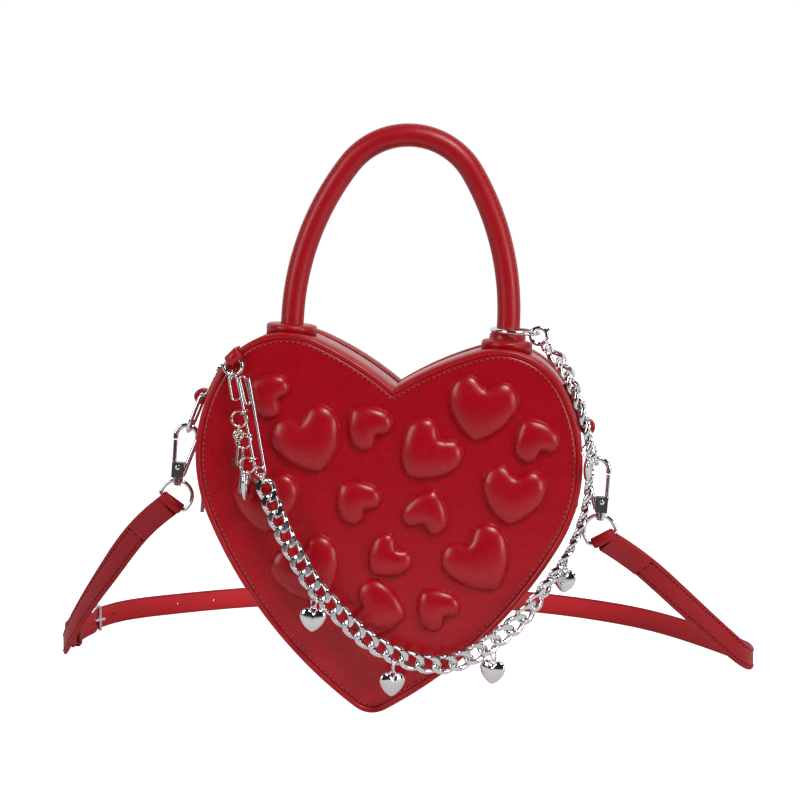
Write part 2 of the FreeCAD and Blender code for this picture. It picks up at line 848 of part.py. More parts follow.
def strap_ring():
    shoulder = ring_centre + ring_across * strap_ring_radius
    arch = arc_tube(ring_centre, -axis_y, shoulder, 180, strap_ring_wire)
    leg = strap_ring_bar_drop - strap_ring_corner
    half_bar = strap_ring_radius - strap_ring_corner
    pieces = [arch]
    for side in (-1, 1):
        top = ring_centre + ring_across * (side * strap_ring_radius)
        low = top - ring_up * leg
        pieces.append(rod(top, low, strap_ring_wire))
        corner_centre = low - ring_across * (side * strap_ring_corner)
        pieces.append(arc_tube(corner_centre, axis_y * side, low, 90, strap_ring_wire))
    pieces.append(rod(
        bar_centre - ring_across * half_bar, bar_centre + ring_across * half_bar, strap_ring_wire
    ))
    low = boss_centre.z - swivel_boss_height / 2
    high = boss_centre.z + swivel_boss_height / 2
    boss = upright(boss_centre.x, tab_plane_y, low, high, swivel_boss_radius)
    bore = upright(
        boss_centre.x, tab_plane_y, low - swivel_head_height - 2 * gate_clearance,
        high + strap_ring_wire, swivel_post_radius + bore_clearance,
    )
    head_room = upright(
        boss_centre.x, tab_plane_y, low - swivel_head_height - 2 * gate_clearance, low,
        swivel_head_radius + bore_clearance,
    )
    return fuse(pieces + [boss]).cut(bore).cut(head_room)


# Shoulder strap
def left_of(vector):
    return Vector(-vector.x, vector.y, vector.z)


strap_curve = Part.BSplineCurve()
strap_curve.interpolate(
    [left_of(bar_centre)] + [Vector(*p) for p in strap_route_left]
    + [Vector(*p) for p in strap_route_right] + [bar_centre]
)
strap_line = strap_curve.toShape()
strap_length = strap_line.Length
floor_up = unit(Vector(-floor_slope, 0, 1))


# Place, heading, width direction and outward normal of the strap at a length along it
def strap_frame(length):
    parameter = strap_line.getParameterByLength(length)
    place = strap_line.valueAt(parameter)
    heading = unit(strap_line.tangentAt(parameter))
    near_end = min(length, strap_length - length)
    share = (near_end - strap_twist_start) / (strap_twist_end - strap_twist_start)
    share = min(max(share, 0.0), 1.0)
    share = share * share * (3 - 2 * share)
    left_side = length < strap_length / 2
    bar = left_of(ring_across) if left_side else ring_across
    width = bar * (1 - share) + floor_up * share
    width = unit(width - heading * width.dot(heading))
    return place, heading, width, heading.cross(width)


def strap_section(length, lift):
    place, heading, width, normal = strap_frame(length)
    centre = place + normal * lift
    across = width * (strap_width / 2)
    through = normal * (strap_thickness / 2)
    return Part.makePolygon([
        centre - across - through, centre + across - through,
        centre + across + through, centre - across + through, centre - across - through,
    ])


def strap_band(start, end, lift_at):
    count = max(2, round((end - start) / strap_step) + 1)
    lengths = [start + (end - start) * i / (count - 1) for i in range(count)]
    return Part.makeLoft([strap_section(s, lift_at(s)) for s in lengths], True, True)


# Folded end of the strap round a ring bar
def strap_fold(centre, along, band):
    half = along * (strap_width / 2)
    fold = rod(centre - half, centre + half, strap_fold_radius)
    bore = rod(centre - half * 2, centre + half * 2, strap_ring_wire + bore_clearance)
    return band.fuse(fold).cut(bore)


fold_start = strap_fold_radius - strap_fold_lap
tail_rest = strap_thickness + 2 * bore_clearance


def flat(length):
    return 0.0


# The long end dips under the buckle's far bar, rises over the near one and lies on the short end
def tail_rise(length):
    near_bar = buckle_at
    far_bar = buckle_at + buckle_length
    under = tail_dip
    if length <= near_bar:
        settled = min((near_bar - length) / (2 * strap_step), 1.0)
        return tail_lift + (tail_rest - tail_lift) * settled
    if length <= near_bar + strap_fold_radius:
        return tail_lift
    if length <= far_bar:
        fall = (length - near_bar - strap_fold_radius) / (buckle_length - strap_fold_radius)
        return tail_lift + (under - tail_lift) * fall
    settled = min((length - far_bar) / (2 * strap_step), 1.0)
    return under * (1 - settled)


def strap_left():
    band = strap_band(fold_start, buckle_at - strap_fold_radius + buckle_fold_lap, flat)
    band = strap_fold(left_of(bar_centre), left_of(ring_across), band)
    place, heading, width, normal = strap_frame(buckle_at)
    half = width * (strap_width / 2)
    fold = rod(place - half, place + half, buckle_fold_radius)
    bore = rod(place - half * 2, place + half * 2, buckle_wire + bore_clearance)
    slot_half = width * (prong_wire + 3 * bore_clearance)
    slot = rod(place - slot_half, place + slot_half, 2 * strap_fold_radius)
    return band.fuse(fold).cut(bore).cut(slot)


# Oblong holes; the first is where the prong goes through
def strap_holes():
    holes = []
    crossing = buckle_at + buckle_length * prong_crossing
    for i in range(strap_hole_count):
        place, heading, width, normal = strap_frame(crossing + i * strap_hole_pitch)
        reach = normal * (3 * strap_thickness + tail_lift)
        for shift in (-1, 0, 1):
            middle = place + heading * (shift * strap_hole_radius * 0.6)
            holes.append(rod(middle - reach, middle + reach, strap_hole_radius))
    return holes


def strap_right():
    tail_steps = 6
    lengths = [buckle_at - tail_length * (1 - i / tail_steps) for i in range(tail_steps + 1)]
    lengths.append(buckle_at + strap_fold_radius)
    lengths.append(buckle_at + buckle_length)
    tail = [strap_section(s, tail_rise(s)) for s in lengths]
    count = round((strap_length - fold_start - buckle_at - buckle_length) / strap_step)
    span = strap_length - fold_start - buckle_at - buckle_length
    rest = [buckle_at + buckle_length + span * (i + 1) / count for i in range(count)]
    band = Part.makeLoft(tail + [strap_section(s, tail_rise(s)) for s in rest], True, True)
    for hole in strap_holes():
        band = band.cut(hole)
    return strap_fold(bar_centre, ring_across, band)


def far_bar_centre():
    place, heading, width, normal = strap_frame(buckle_at + buckle_length)
    return place + normal * buckle_rise


def buckle_frame():
    place, heading, width, normal = strap_frame(buckle_at)
    far = far_bar_centre()
    side = width * buckle_half_width
    corners = [place - side, place + side, far + side, far - side]
    return bent_wire(corners, buckle_wire, buckle_corner, True)


def buckle_prong():
    place, heading, width, normal = strap_frame(buckle_at)
    rest = (far_bar_centre() + heading * buckle_wire
            + normal * (buckle_wire + prong_wire + 3 * bore_clearance))
    eye = ring(place, width, prong_eye_radius, prong_wire)
    away = unit(rest - place)
    return eye.fuse(rod(place + away * prong_eye_radius, rest, prong_wire))


def strap_keeper():
    place, heading, width, normal = strap_frame(keeper_at)
    room = 2 * bore_clearance
    thick = strap_thickness + tail_rest + 2 * room
    tall = strap_width + 2 * room
    wall = keeper_thickness
    inner = Part.makeBox(keeper_width * 2, tall, thick)
    outer = Part.makeBox(keeper_width, tall + 2 * wall, thick + 2 * wall)
    inner.translate(Vector(-keeper_width, -tall / 2, -strap_thickness / 2 - room))
    outer.translate(Vector(-keeper_width / 2, -tall / 2 - wall, -strap_thickness / 2 - room - wall))
    return seat(outer.cut(inner), place, heading, normal)


# Local X along one direction and local Z along another
def seat(shape, origin, along, up):
    across = unit(up.cross(along))
    up = unit(along.cross(across))
    matrix = FreeCAD.Matrix(
        along.x, across.x, up.x, origin.x,
        along.y, across.y, up.y, origin.y,
        along.z, across.z, up.z, origin.z,
        0, 0, 0, 1,
    )
    return shape.transformGeometry(FreeCAD.Matrix()).transformed(matrix, True)


# Leather tab over the rim and the ring it holds
tab_out = on_circle(0, 0, 1, charm_tab_angle, 0)
lobe_left = Vector(-lobe_x, 0, lobe_z)
o_ring_y = front_y - charm_tab_thickness - o_ring_wire - 2 * stack_clearance
tunnel_radius = lobe_radius - charm_tab_reach
tunnel_centre = lobe_left + tab_out * tunnel_radius + axis_y * o_ring_y
o_ring_centre = tunnel_centre - axis_z * o_ring_radius


def charm_tab():
    half_angle = math.degrees(charm_tab_width / 2 / lobe_radius)
    degrees = (charm_tab_angle - half_angle, charm_tab_angle + half_angle)
    outer = lobe_radius + stack_clearance
    over = sector(
        (-lobe_x, lobe_z), (outer, outer + charm_tab_thickness), degrees,
        (front_y - stack_clearance - charm_tab_thickness, gusset_front_edge + charm_tab_width),
    )
    face = sector(
        (-lobe_x, lobe_z), (tunnel_radius, outer + charm_tab_thickness / 2), degrees,
        (front_y - stack_clearance - charm_tab_thickness, front_y - stack_clearance),
    )
    half = axis_x * (charm_tab_width / 3)
    loop = rod(tunnel_centre - half, tunnel_centre + half, o_ring_wire + 1.8 * charm_tab_thickness)
    backing = box(
        Vector(-bag_half_width, front_y - stack_clearance, 0),
        Vector(0, back_y, bag_lobe_height),
    )
    room = ring(o_ring_centre, axis_y, o_ring_radius, o_ring_wire + bore_clearance)
    return fuse([over, face, loop.cut(backing)]).cut(room)


def charm_o_ring():
    return ring(o_ring_centre, axis_y, o_ring_radius, o_ring_wire)


# Pin: two arms from a coil, and an open clasp whose eye hangs in the ring
coil_centre = Vector(pin_coil_place[0], pin_plane_y, pin_coil_place[1])
pin_top = Vector(pin_fixed_top[0], pin_plane_y, pin_fixed_top[1])
pin_point = Vector(pin_free_top[0], pin_plane_y, pin_free_top[1])
clasp_y = pin_plane_y + pin_wire + clasp_wire + bore_clearance
pin_hang = o_ring_centre - axis_z * o_ring_radius


def arm_foot(top, side):
    reach = unit(top - coil_centre)
    return coil_centre + axis_y.cross(reach) * (side * pin_coil_radius)


def pin_wires():
    coil = ring(coil_centre, axis_y, pin_coil_radius, pin_wire)
    arms = [rod(arm_foot(pin_top, -1), pin_top, pin_wire),
            rod(arm_foot(pin_point, 1), pin_point, pin_wire)]
    return fuse([coil] + arms)


def pin_clasp():
    loops = []
    for outline in (clasp_left_loop, clasp_right_loop):
        points = [Vector(x, clasp_y, z) for x, z in outline]
        loops.append(bent_wire(points, clasp_wire, clasp_corner, True))
    eye_centre = pin_hang - axis_y * (clasp_eye_radius - clasp_wire - o_ring_wire - bore_clearance)
    eye = ring(eye_centre, axis_x, clasp_eye_radius, clasp_wire)
    return fuse([eye] + loops)


# Curb chain: the link's wire is a twisted oval of eight tangent arcs
def quarter_arcs():
    side = Vector(0, link_half_width, 0)
    end = Vector(link_half_length, 0, 0)
    side_heading = unit(Vector(link_half_length, 0, 2 * link_twist))
    end_heading = unit(Vector(0, -link_half_width, -2 * link_twist))
    span = end - side
    both = side_heading + end_heading
    spread = 2 * (1 - side_heading.dot(end_heading))
    reach = (-span.dot(both) + math.sqrt(span.dot(both) ** 2 + spread * span.dot(span))) / spread
    meet = (side + side_heading * reach + end - end_heading * reach) * 0.5
    return [(side, side_heading, meet), (end, end_heading * -1, meet)]


def curb_link():
    quarter = [tangent_arc_tube(a, h, b, link_wire) for a, h, b in quarter_arcs()]
    arcs = []
    for shape in quarter:
        arcs.append(shape)
        for axis in (axis_x, axis_y, axis_z):
            turned = shape.copy()
            turned.rotate(Vector(), axis, 180)
            arcs.append(turned)
    return fuse(arcs)


link_pitch = 2 * link_half_length - 2 * link_wire - link_play
clasp_hook_angle = math.radians(foot_ring_turn)
clasp_hold = foot_ring_centre + Vector(
    math.cos(clasp_hook_angle), math.sin(clasp_hook_angle), 0
) * foot_ring_radius
clasp_down = unit(Vector(*hand_clasp_fall))
hand_clasp_centre = clasp_hold + clasp_down * (
    hand_clasp_radius - hand_clasp_wire - foot_ring_wire - bore_clearance
)
tail_centre = hand_clasp_centre + clasp_down * (hand_clasp_radius + hand_clasp_tail)
join_heading = unit(Vector(*chain_route[0]) - coil_centre)
coil_low = coil_centre + join_heading * pin_coil_radius
join_room = chain_join_radius - chain_join_wire - bore_clearance
join_centre = coil_low + join_heading * (join_room - pin_wire)
chain_first = join_centre + join_heading * (join_room - link_wire)
tail_room = hand_clasp_tail - hand_clasp_tail_wire - link_wire - bore_clearance / 2
chain_last = tail_centre + clasp_down * tail_room

chain_curve = Part.BSplineCurve()
chain_curve.interpolate([chain_first] + [Vector(*p) for p in chain_route] + [chain_last])
chain_line = chain_curve.toShape()


def chain_point(length):
    return chain_line.valueAt(chain_line.getParameterByLength(length))


# The way a link faces: the front at first, then out from the right side wall
def chain_facing(length, heading):
    share = min(max((length - chain_turn[0]) / (chain_turn[1] - chain_turn[0]), 0), 1)
    turned = 90 * share * share * (3 - 2 * share)
    back = max((length - chain_return) / (chain_line.Length - chain_return), 0)
    angle = math.radians(turned - chain_return_angle * back)
    aside = unit(axis_y.cross(heading))
    return unit(aside * math.sin(angle) - axis_y * math.cos(angle))


# Links are spaced evenly from the join ring to the clasp; each has its centre, heading and facing
def chain_frames():
    overlap = link_half_length - link_pitch / 2
    usable = chain_line.Length - 2 * overlap
    count = round(usable / link_pitch)
    step = usable / count
    knots = [chain_point(overlap + step * i) for i in range(count + 1)]
    frames = []
    for i in range(count):
        heading = unit(knots[i + 1] - knots[i])
        facing = chain_facing(overlap + step * (i + 0.5), heading)
        frames.append(((knots[i] + knots[i + 1]) * 0.5, heading, facing))
    return frames


link_frames = chain_frames()


def chain_links():
    link = curb_link()
    return Part.makeCompound([seat(link, *frame) for frame in link_frames])


def chain_join():
    return ring(join_centre, axis_y.cross(join_heading), chain_join_radius, chain_join_wire)


def chain_clasp():
    hook = ring(hand_clasp_centre, axis_y, hand_clasp_radius, hand_clasp_wire)
    eye = ring(tail_centre, link_frames[-1][2].cross(clasp_down), hand_clasp_tail, hand_clasp_tail_wire)
    aside = unit(axis_y.cross(clasp_down)) * -1
    thumb = hand_clasp_centre + aside * hand_clasp_radius
    lever = rod(thumb, thumb + aside * 2 * hand_clasp_wire, hand_clasp_wire * 0.7)
    return fuse([hook, eye, lever])


# Puffed heart pendant hanging from its eye, whose centre is given
def heart_pendant(eye_centre, width, rise, facing):
    front = dome(width, rise)
    back = front.mirror(Vector(), axis_y)
    body = front.fuse(back)
    top = width * plump_heart.notch
    body.translate(Vector(0, 0, -top - charm_eye_radius + charm_eye_wire))
    eye = ring(Vector(), axis_y, charm_eye_radius, charm_eye_wire)
    pendant = body.fuse(eye)
    pendant.rotate(Vector(), axis_z, facing)
    pendant.translate(eye_centre)
    return pendant


# Place on a link's lower side wire, the way the charm's bail leaves it, and the link's heading
def charm_frame(number):
    target = charm_places[number]
    place, heading, facing = min(
        link_frames, key=lambda frame: math.hypot(frame[0].x - target[0], frame[0].z - target[1])
    )
    across = unit(facing.cross(heading))
    across = across * (1 if across.dot(Vector(*charm_fall)) > 0 else -1)
    forward = heading.cross(across)
    forward = forward * (1 if forward.dot(facing) > 0 else -1)
    turn = math.radians(charm_turns[number])
    outward = unit(across * math.cos(turn) + forward * math.sin(turn))
    return place + across * link_half_width, outward, heading


# The heart hangs in front of the chain, clear of its neighbouring links
def heart_charm(number):
    hold, outward, along = charm_frame(number)
    slack = charm_bail_radius - charm_bail_wire - link_wire - 2 * bore_clearance
    bail_centre = hold + outward * slack
    bail = ring(bail_centre, along, charm_bail_radius, charm_bail_wire)
    low = bail_centre + outward * charm_bail_radius
    eye_drop = charm_eye_radius - charm_eye_wire - charm_bail_wire - bore_clearance / 2
    pendant = heart_pendant(low - axis_z * eye_drop, charm_width, charm_rise, 0)
    return Part.makeCompound([bail, pendant])


# Charms on the pin's fixed arm
arm_low = arm_foot(pin_top, -1)
arm_heading = unit(arm_low - pin_top)


def pin_charm_hold(height):
    share = (pin_top.z - height) / (pin_top.z - arm_low.z)
    return pin_top + (arm_low - pin_top) * share


def pin_charm(height, facing, degrees, pendant_of):
    hold = pin_charm_hold(height)
    side = math.radians(degrees)
    offset = pin_wire + pin_ring_wire + bore_clearance
    ring_point = hold + axis_y * (facing * offset)
    ring_middle = ring_point - Vector(math.cos(side), 0, math.sin(side)) * pin_ring_radius
    wire_heading = Vector(math.sin(side), 0, -math.cos(side))
    link_normal = unit(arm_heading + wire_heading)
    link_place = (hold + ring_point) * 0.5
    link = ring(link_place, link_normal, pin_link_radius, pin_link_wire)
    loop = ring(ring_middle, axis_y, pin_ring_radius, pin_ring_wire)
    eye_drop = charm_eye_radius - charm_eye_wire - pin_ring_wire - bore_clearance / 2
    eye_centre = ring_middle - axis_z * (pin_ring_radius + eye_drop)
    return Part.makeCompound([link, loop, pendant_of(eye_centre)])


def key_pendant(eye_centre):
    eye = ring(eye_centre, axis_x, charm_eye_radius, charm_eye_wire)
    bow_drop = charm_eye_radius + pin_key_bow_radius + charm_eye_wire / 2
    bow_centre = eye_centre - axis_z * bow_drop
    bow = ring(bow_centre, axis_y, pin_key_bow_radius, pin_key_bow_wire)
    stem_top = bow_centre - axis_z * pin_key_bow_radius
    stem_low = eye_centre - axis_z * pin_key_length
    stem = rod(stem_top, stem_low, pin_key_stem_radius)
    collar_top = stem_top - axis_z * pin_key_collar
    collar = rod(collar_top, collar_top - axis_z * pin_key_collar, 2 * pin_key_stem_radius)
    bits = []
    for count in range(2):
        low = stem_low + Vector(-pin_key_bit, -pin_key_stem_radius / 2, 2 * count * pin_key_collar)
        bits.append(box(low, low + Vector(pin_key_bit, pin_key_stem_radius, pin_key_collar)))
    return fuse([eye, bow, stem, collar] + bits)


def bar_pendant(eye_centre):
    eye = ring(eye_centre, axis_x, charm_eye_radius, charm_eye_wire)
    top = eye_centre - axis_z * (charm_eye_radius - charm_eye_wire / 2)
    low = eye_centre - axis_z * pin_bar_length
    stem = rod(top, low, pin_bar_radius)
    half = pin_bar_bit_half
    bit = box(low + Vector(-half, 0, 0), low + Vector(half, pin_bar_bit, 2 * pin_bar_bit))
    return fuse([eye, stem, bit])


def edge_heart_pendant(eye_centre):
    return heart_pendant(eye_centre, pin_heart_width, charm_rise, 80)


# Zip slider: plates outside and inside the rows, a post between them, a bridge for the key
slider_angle = 180 - math.degrees(math.asin((zip_end_height - side_z) / bag_side_radius)) \
    - math.degrees((slider_length / 2 + zip_row_width + 2) / bag_side_radius)
slider_half = math.degrees(slider_length / 2 / bag_side_radius)
slider_degrees = (slider_angle - slider_half, slider_angle + slider_half)
slider_depths = (zip_plane_y - slider_width / 2, zip_plane_y + slider_width / 2)
outer_plate = bag_side_radius - zip_row_inset + slider_clearance
inner_plate = bag_side_radius - zip_row_inset - zip_row_height - slider_clearance
bridge_low = on_circle(-side_x, side_z, outer_plate + slider_plate, slider_angle + slider_half * 0.7,
                       zip_plane_y)
bridge_leg_x = bridge_low.x - bridge_rise


def slider_body():
    centre = (-side_x, side_z)
    outer = sector(centre, (outer_plate, outer_plate + slider_plate), slider_degrees, slider_depths)
    inner = sector(centre, (inner_plate - slider_plate, inner_plate), slider_degrees, slider_depths)
    post = sector(
        centre, (inner_plate - slider_plate / 2, outer_plate + slider_plate / 2),
        (slider_angle, slider_angle + slider_half),
        (zip_plane_y - slider_post / 2, zip_plane_y + slider_post / 2),
    )
    bridge_high = on_circle(-side_x, side_z, outer_plate + slider_plate,
                            slider_angle - slider_half * 0.7, zip_plane_y)
    root = axis_x * slider_plate / 2
    bridge = bent_wire(
        [bridge_low + root, Vector(bridge_leg_x, zip_plane_y, bridge_low.z),
         Vector(bridge_leg_x, zip_plane_y, bridge_high.z), bridge_high + root],
        bridge_wire, 2.2, False,
    )
    return fuse([outer, inner, post, bridge])


key_hang = Vector(bridge_low.x - bridge_rise * 0.42, zip_plane_y, bridge_low.z)


def zip_key():
    drop = key_eye_radius - key_eye_wire - bridge_wire - bore_clearance
    eye_centre = key_hang - axis_z * drop
    eye = ring(eye_centre, axis_x, key_eye_radius, key_eye_wire)
    stem_top = eye_centre - axis_z * key_eye_radius
    stem_low = eye_centre - axis_z * key_length
    stem = rod(stem_top, stem_low, key_wire)
    collar = rod(stem_top - axis_z * 0.5, stem_top - axis_z * 2.0, key_wire * 1.5)
    bit_low = stem_low + Vector(-0.6, 0, 1.0)
    bit = box(bit_low, bit_low + Vector(1.2, 3.4, 5.0))
    notch = box(bit_low + Vector(-1, 2.2, 2.0), bit_low + Vector(2.2, 4.4, 3.0))
    return fuse([eye, stem, collar, bit]).cut(notch)


def mirrored(shape):
    return shape.mirror(Vector(), axis_x)


pieces = {
    "front_panel": front_panel(),
    "front_board": stiffener(front_y, 1),
    "front_lining": lining(front_y, 1),
    "front_piping": piping(front_y + piping_radius),
    "gusset_front": gusset_front(),
    "gusset_lower": gusset_lower(),
    "zip_tape_front": zip_tape(row_front - zip_row_width - zip_tape_width, row_front - zip_row_width),
    "zip_teeth_front": zip_row(row_front - zip_row_width, row_front),
    "zip_end_tabs": zip_end_tabs(),
    "handle_cover": handle_cover(),
    "handle_core": handle_core(),
    "handle_base_left": handle_base(-handle_half_span, 0),
    "handle_base_right": handle_base(handle_half_span, base_neck_height),
    "handle_washers": handle_washers(),
    "handle_screws": handle_screws(),
    "chain_ring": chain_ring(),
    "charm_tab": charm_tab(),
    "charm_o_ring": charm_o_ring(),
    "right_side_tab": side_tab(),
    "left_side_tab": mirrored(side_tab()),
    "side_rivets": Part.makeCompound([side_rivet(), mirrored(side_rivet())]),
    "back_panel": back_panel(),
    "back_board": stiffener(back_y, -1),
    "back_lining": lining(back_y, -1),
    "back_piping": piping(back_y - piping_radius),
    "gusset_rear": gusset_rear(),
    "zip_tape_rear": zip_tape(row_back + zip_row_width, row_back + zip_row_width + zip_tape_width),
    "zip_teeth_rear": zip_row(row_back, row_back + zip_row_width),
    "inner_pocket": inner_pocket(),
    "slider_body": slider_body(),
    "zip_key": zip_key(),
    "right_d_ring": d_ring(),
    "left_d_ring": mirrored(d_ring()),
    "right_hook_frame": hook_frame(),
    "left_hook_frame": mirrored(hook_frame()),
    "right_hook_gate": hook_gate(),
    "left_hook_gate": mirrored(hook_gate()),
    "right_strap_ring": strap_ring(),
    "left_strap_ring": mirrored(strap_ring()),
    "strap_left": strap_left(),
    "strap_right": strap_right(),
    "buckle_frame": buckle_frame(),
    "buckle_prong": buckle_prong(),
    "strap_keeper": strap_keeper(),
    "pin_wires": pin_wires(),
    "pin_clasp": pin_clasp(),
    "chain_join": chain_join(),
    "chain_links": chain_links(),
    "chain_clasp": chain_clasp(),
}
pin_pendants = [("key", key_pendant), ("bar", bar_pendant), ("heart", edge_heart_pendant)]
for number, (name, pendant_of) in enumerate(pin_pendants):
    pieces["pin_charm_%s" % name] = pin_charm(
        pin_charm_heights[number], pin_ring_facings[number], pin_ring_sides[number], pendant_of
    )
for number in range(len(charm_places)):
    pieces["heart_charm_%d" % (number + 1)] = heart_charm(number)

# The frame's origin is the middle of the handle's grip
grip = Vector(0, handle_plane_y, handle_apex_height)
os.makedirs("parts", exist_ok=True)
for name, shape in pieces.items():
    moved = shape.copy()
    moved.translate(grip * -1)
    moved.exportStep("parts/%s.step" % name)

print("strap length", round(strap_length, 1), "chain links", len(link_frames),
      "chain length", round(chain_line.Length, 1))
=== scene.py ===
import json
import math

import bmesh
import bpy
import numpy as np
from mathutils import Matrix, Vector


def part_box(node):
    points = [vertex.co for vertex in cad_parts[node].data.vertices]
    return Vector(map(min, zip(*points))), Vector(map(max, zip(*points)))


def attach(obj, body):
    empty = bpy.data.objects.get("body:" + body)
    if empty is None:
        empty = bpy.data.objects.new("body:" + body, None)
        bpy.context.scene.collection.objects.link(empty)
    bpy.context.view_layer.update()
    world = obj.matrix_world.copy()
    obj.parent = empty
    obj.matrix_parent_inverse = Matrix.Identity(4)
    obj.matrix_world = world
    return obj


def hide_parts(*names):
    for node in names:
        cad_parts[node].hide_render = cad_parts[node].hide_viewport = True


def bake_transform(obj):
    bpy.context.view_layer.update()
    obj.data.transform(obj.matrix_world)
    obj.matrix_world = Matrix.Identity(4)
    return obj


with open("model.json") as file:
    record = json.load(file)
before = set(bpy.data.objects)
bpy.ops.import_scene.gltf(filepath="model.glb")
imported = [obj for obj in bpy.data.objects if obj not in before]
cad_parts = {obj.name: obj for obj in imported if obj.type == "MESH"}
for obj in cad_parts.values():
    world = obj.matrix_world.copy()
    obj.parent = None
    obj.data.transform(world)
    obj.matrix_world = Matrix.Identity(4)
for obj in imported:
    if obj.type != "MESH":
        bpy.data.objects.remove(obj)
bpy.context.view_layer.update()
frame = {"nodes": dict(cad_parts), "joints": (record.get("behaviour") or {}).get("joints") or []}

mm = 0.001
# Middle of the grip, which is the frame's origin, in millimetres from the heart's tip
gripPlace = Vector((0.0, -12.0, 296.0))
axisX = Vector((1.0, 0.0, 0.0))
axisY = Vector((0.0, 1.0, 0.0))
axisZ = Vector((0.0, 0.0, 1.0))


def spot(point):
    return (Vector(point) - gripPlace) * mm


# A joint's place, in millimetres from the heart's tip, and its axis
def jointAt(name):
    joint = next(j for j in frame["joints"] if j["name"] == name)
    return Vector(joint["pos_m"]) / mm + gripPlace, Vector(joint["axis"])


# Camera: level with a floor that the bag leans on, so it is rolled against the bag's own axes
cameraValues = dict(
    aim=(4.15, -30.0, 160.7), distance=1.1, azimuth=4.0, elevation=6.0, roll=4.13, lens=96.5,
    sensor=36.0,
)


def buildCamera(v):
    azimuth, elevation = math.radians(v["azimuth"]), math.radians(v["elevation"])
    away = Vector((
        math.sin(azimuth) * math.cos(elevation), -math.cos(azimuth) * math.cos(elevation),
        math.sin(elevation),
    ))
    rightward = axisZ.cross(away).normalized()
    upward = away.cross(rightward)
    roll = math.radians(v["roll"])
    up = upward * math.cos(roll) - rightward * math.sin(roll)
    right = rightward * math.cos(roll) + upward * math.sin(roll)
    data = bpy.data.cameras.new("photoCamera")
    data.lens = v["lens"]
    data.sensor_width = v["sensor"]
    data.dof.use_dof = False
    camera = bpy.data.objects.new("photoCamera", data)
    place = spot(v["aim"]) + away * v["distance"]
    turn = Matrix((right, up, away)).transposed().to_4x4()
    camera.matrix_world = Matrix.Translation(place) @ turn
    bpy.context.scene.collection.objects.link(camera)
    bpy.context.scene.camera = camera


buildCamera(cameraValues)
print("stage: camera")


# Shared effects are shader node groups, and each material is made from them
grainValues = dict(
    poreScale=900.0, grainDepth=0.06, grainBump=0.0004, creaseScale=55.0, creaseDetail=5.0,
    creaseDepth=0.04, creaseBump=0.002,
)
smudgeValues = dict(low=0.05, high=0.2, scale=160.0, detail=6.0, cloudFrom=0.4, cloudTo=0.75)
weaveValues = dict(threadScale=1400.0, depth=0.3, bump=0.0003)
finishValues = dict(
    leatherSpread=0.08, metalShade=0.9, clothRoughness=0.85, clothGloss=0.2, clothSheen=0.2,
)


def setInputs(node, values):
    for socketName, value in values.items():
        node.inputs[socketName].default_value = value
    return node


def addNode(tree, kind, values=()):
    return setInputs(tree.nodes.new(kind), dict(values))


# Each link is a node and its output, then a node and its input
def connect(tree, *links):
    for source, output, target, entry in links:
        tree.links.new(source.outputs[output], target.inputs[entry])


# A group's inputs are a vector and named numbers
def newGroup(name, numbers, outputs):
    group = bpy.data.node_groups.new(name, "ShaderNodeTree")
    addSocket = group.interface.new_socket
    addSocket("Vector", in_out="INPUT", socket_type="NodeSocketVector")
    for socketName, default in numbers.items():
        socket = addSocket(socketName, in_out="INPUT", socket_type="NodeSocketFloat")
        socket.default_value = default
    for socketName, kind in outputs.items():
        addSocket(socketName, in_out="OUTPUT", socket_type="NodeSocket" + kind)
    return group, addNode(group, "NodeGroupInput"), addNode(group, "NodeGroupOutput")


def leatherGrainGroup(v):
    group, start, end = newGroup(
        "leatherGrain",
        {"Grain size": v["poreScale"], "Grain depth": v["grainDepth"],
         "Crease depth": v["creaseDepth"]},
        {"Normal": "Vector", "Variation": "Float"},
    )
    pores = addNode(group, "ShaderNodeTexVoronoi")
    pores.feature = "SMOOTH_F1"
    creases = {"Scale": v["creaseScale"], "Detail": v["creaseDetail"]}
    soft = addNode(group, "ShaderNodeTexNoise", creases)
    grain = addNode(group, "ShaderNodeBump", {"Distance": v["grainBump"]})
    crease = addNode(group, "ShaderNodeBump", {"Distance": v["creaseBump"]})
    connect(
        group,
        (start, "Vector", pores, "Vector"), (start, "Grain size", pores, "Scale"),
        (start, "Vector", soft, "Vector"), (start, "Grain depth", grain, "Strength"),
        (pores, "Distance", grain, "Height"), (start, "Crease depth", crease, "Strength"),
        (soft, "Fac", crease, "Height"), (grain, "Normal", crease, "Normal"),
        (crease, "Normal", end, "Normal"), (soft, "Fac", end, "Variation"),
    )
    return group


def smudgeGroup(v):
    group, start, end = newGroup(
        "fingerSmudge", {"Low": v["low"], "High": v["high"]}, {"Roughness": "Float"}
    )
    cloud = addNode(group, "ShaderNodeTexNoise", {"Scale": v["scale"], "Detail": v["detail"]})
    ends = {"From Min": v["cloudFrom"], "From Max": v["cloudTo"]}
    spread = addNode(group, "ShaderNodeMapRange", ends)
    connect(
        group,
        (start, "Vector", cloud, "Vector"), (cloud, "Fac", spread, "Value"),
        (start, "Low", spread, "To Min"), (start, "High", spread, "To Max"),
        (spread, "Result", end, "Roughness"),
    )
    return group


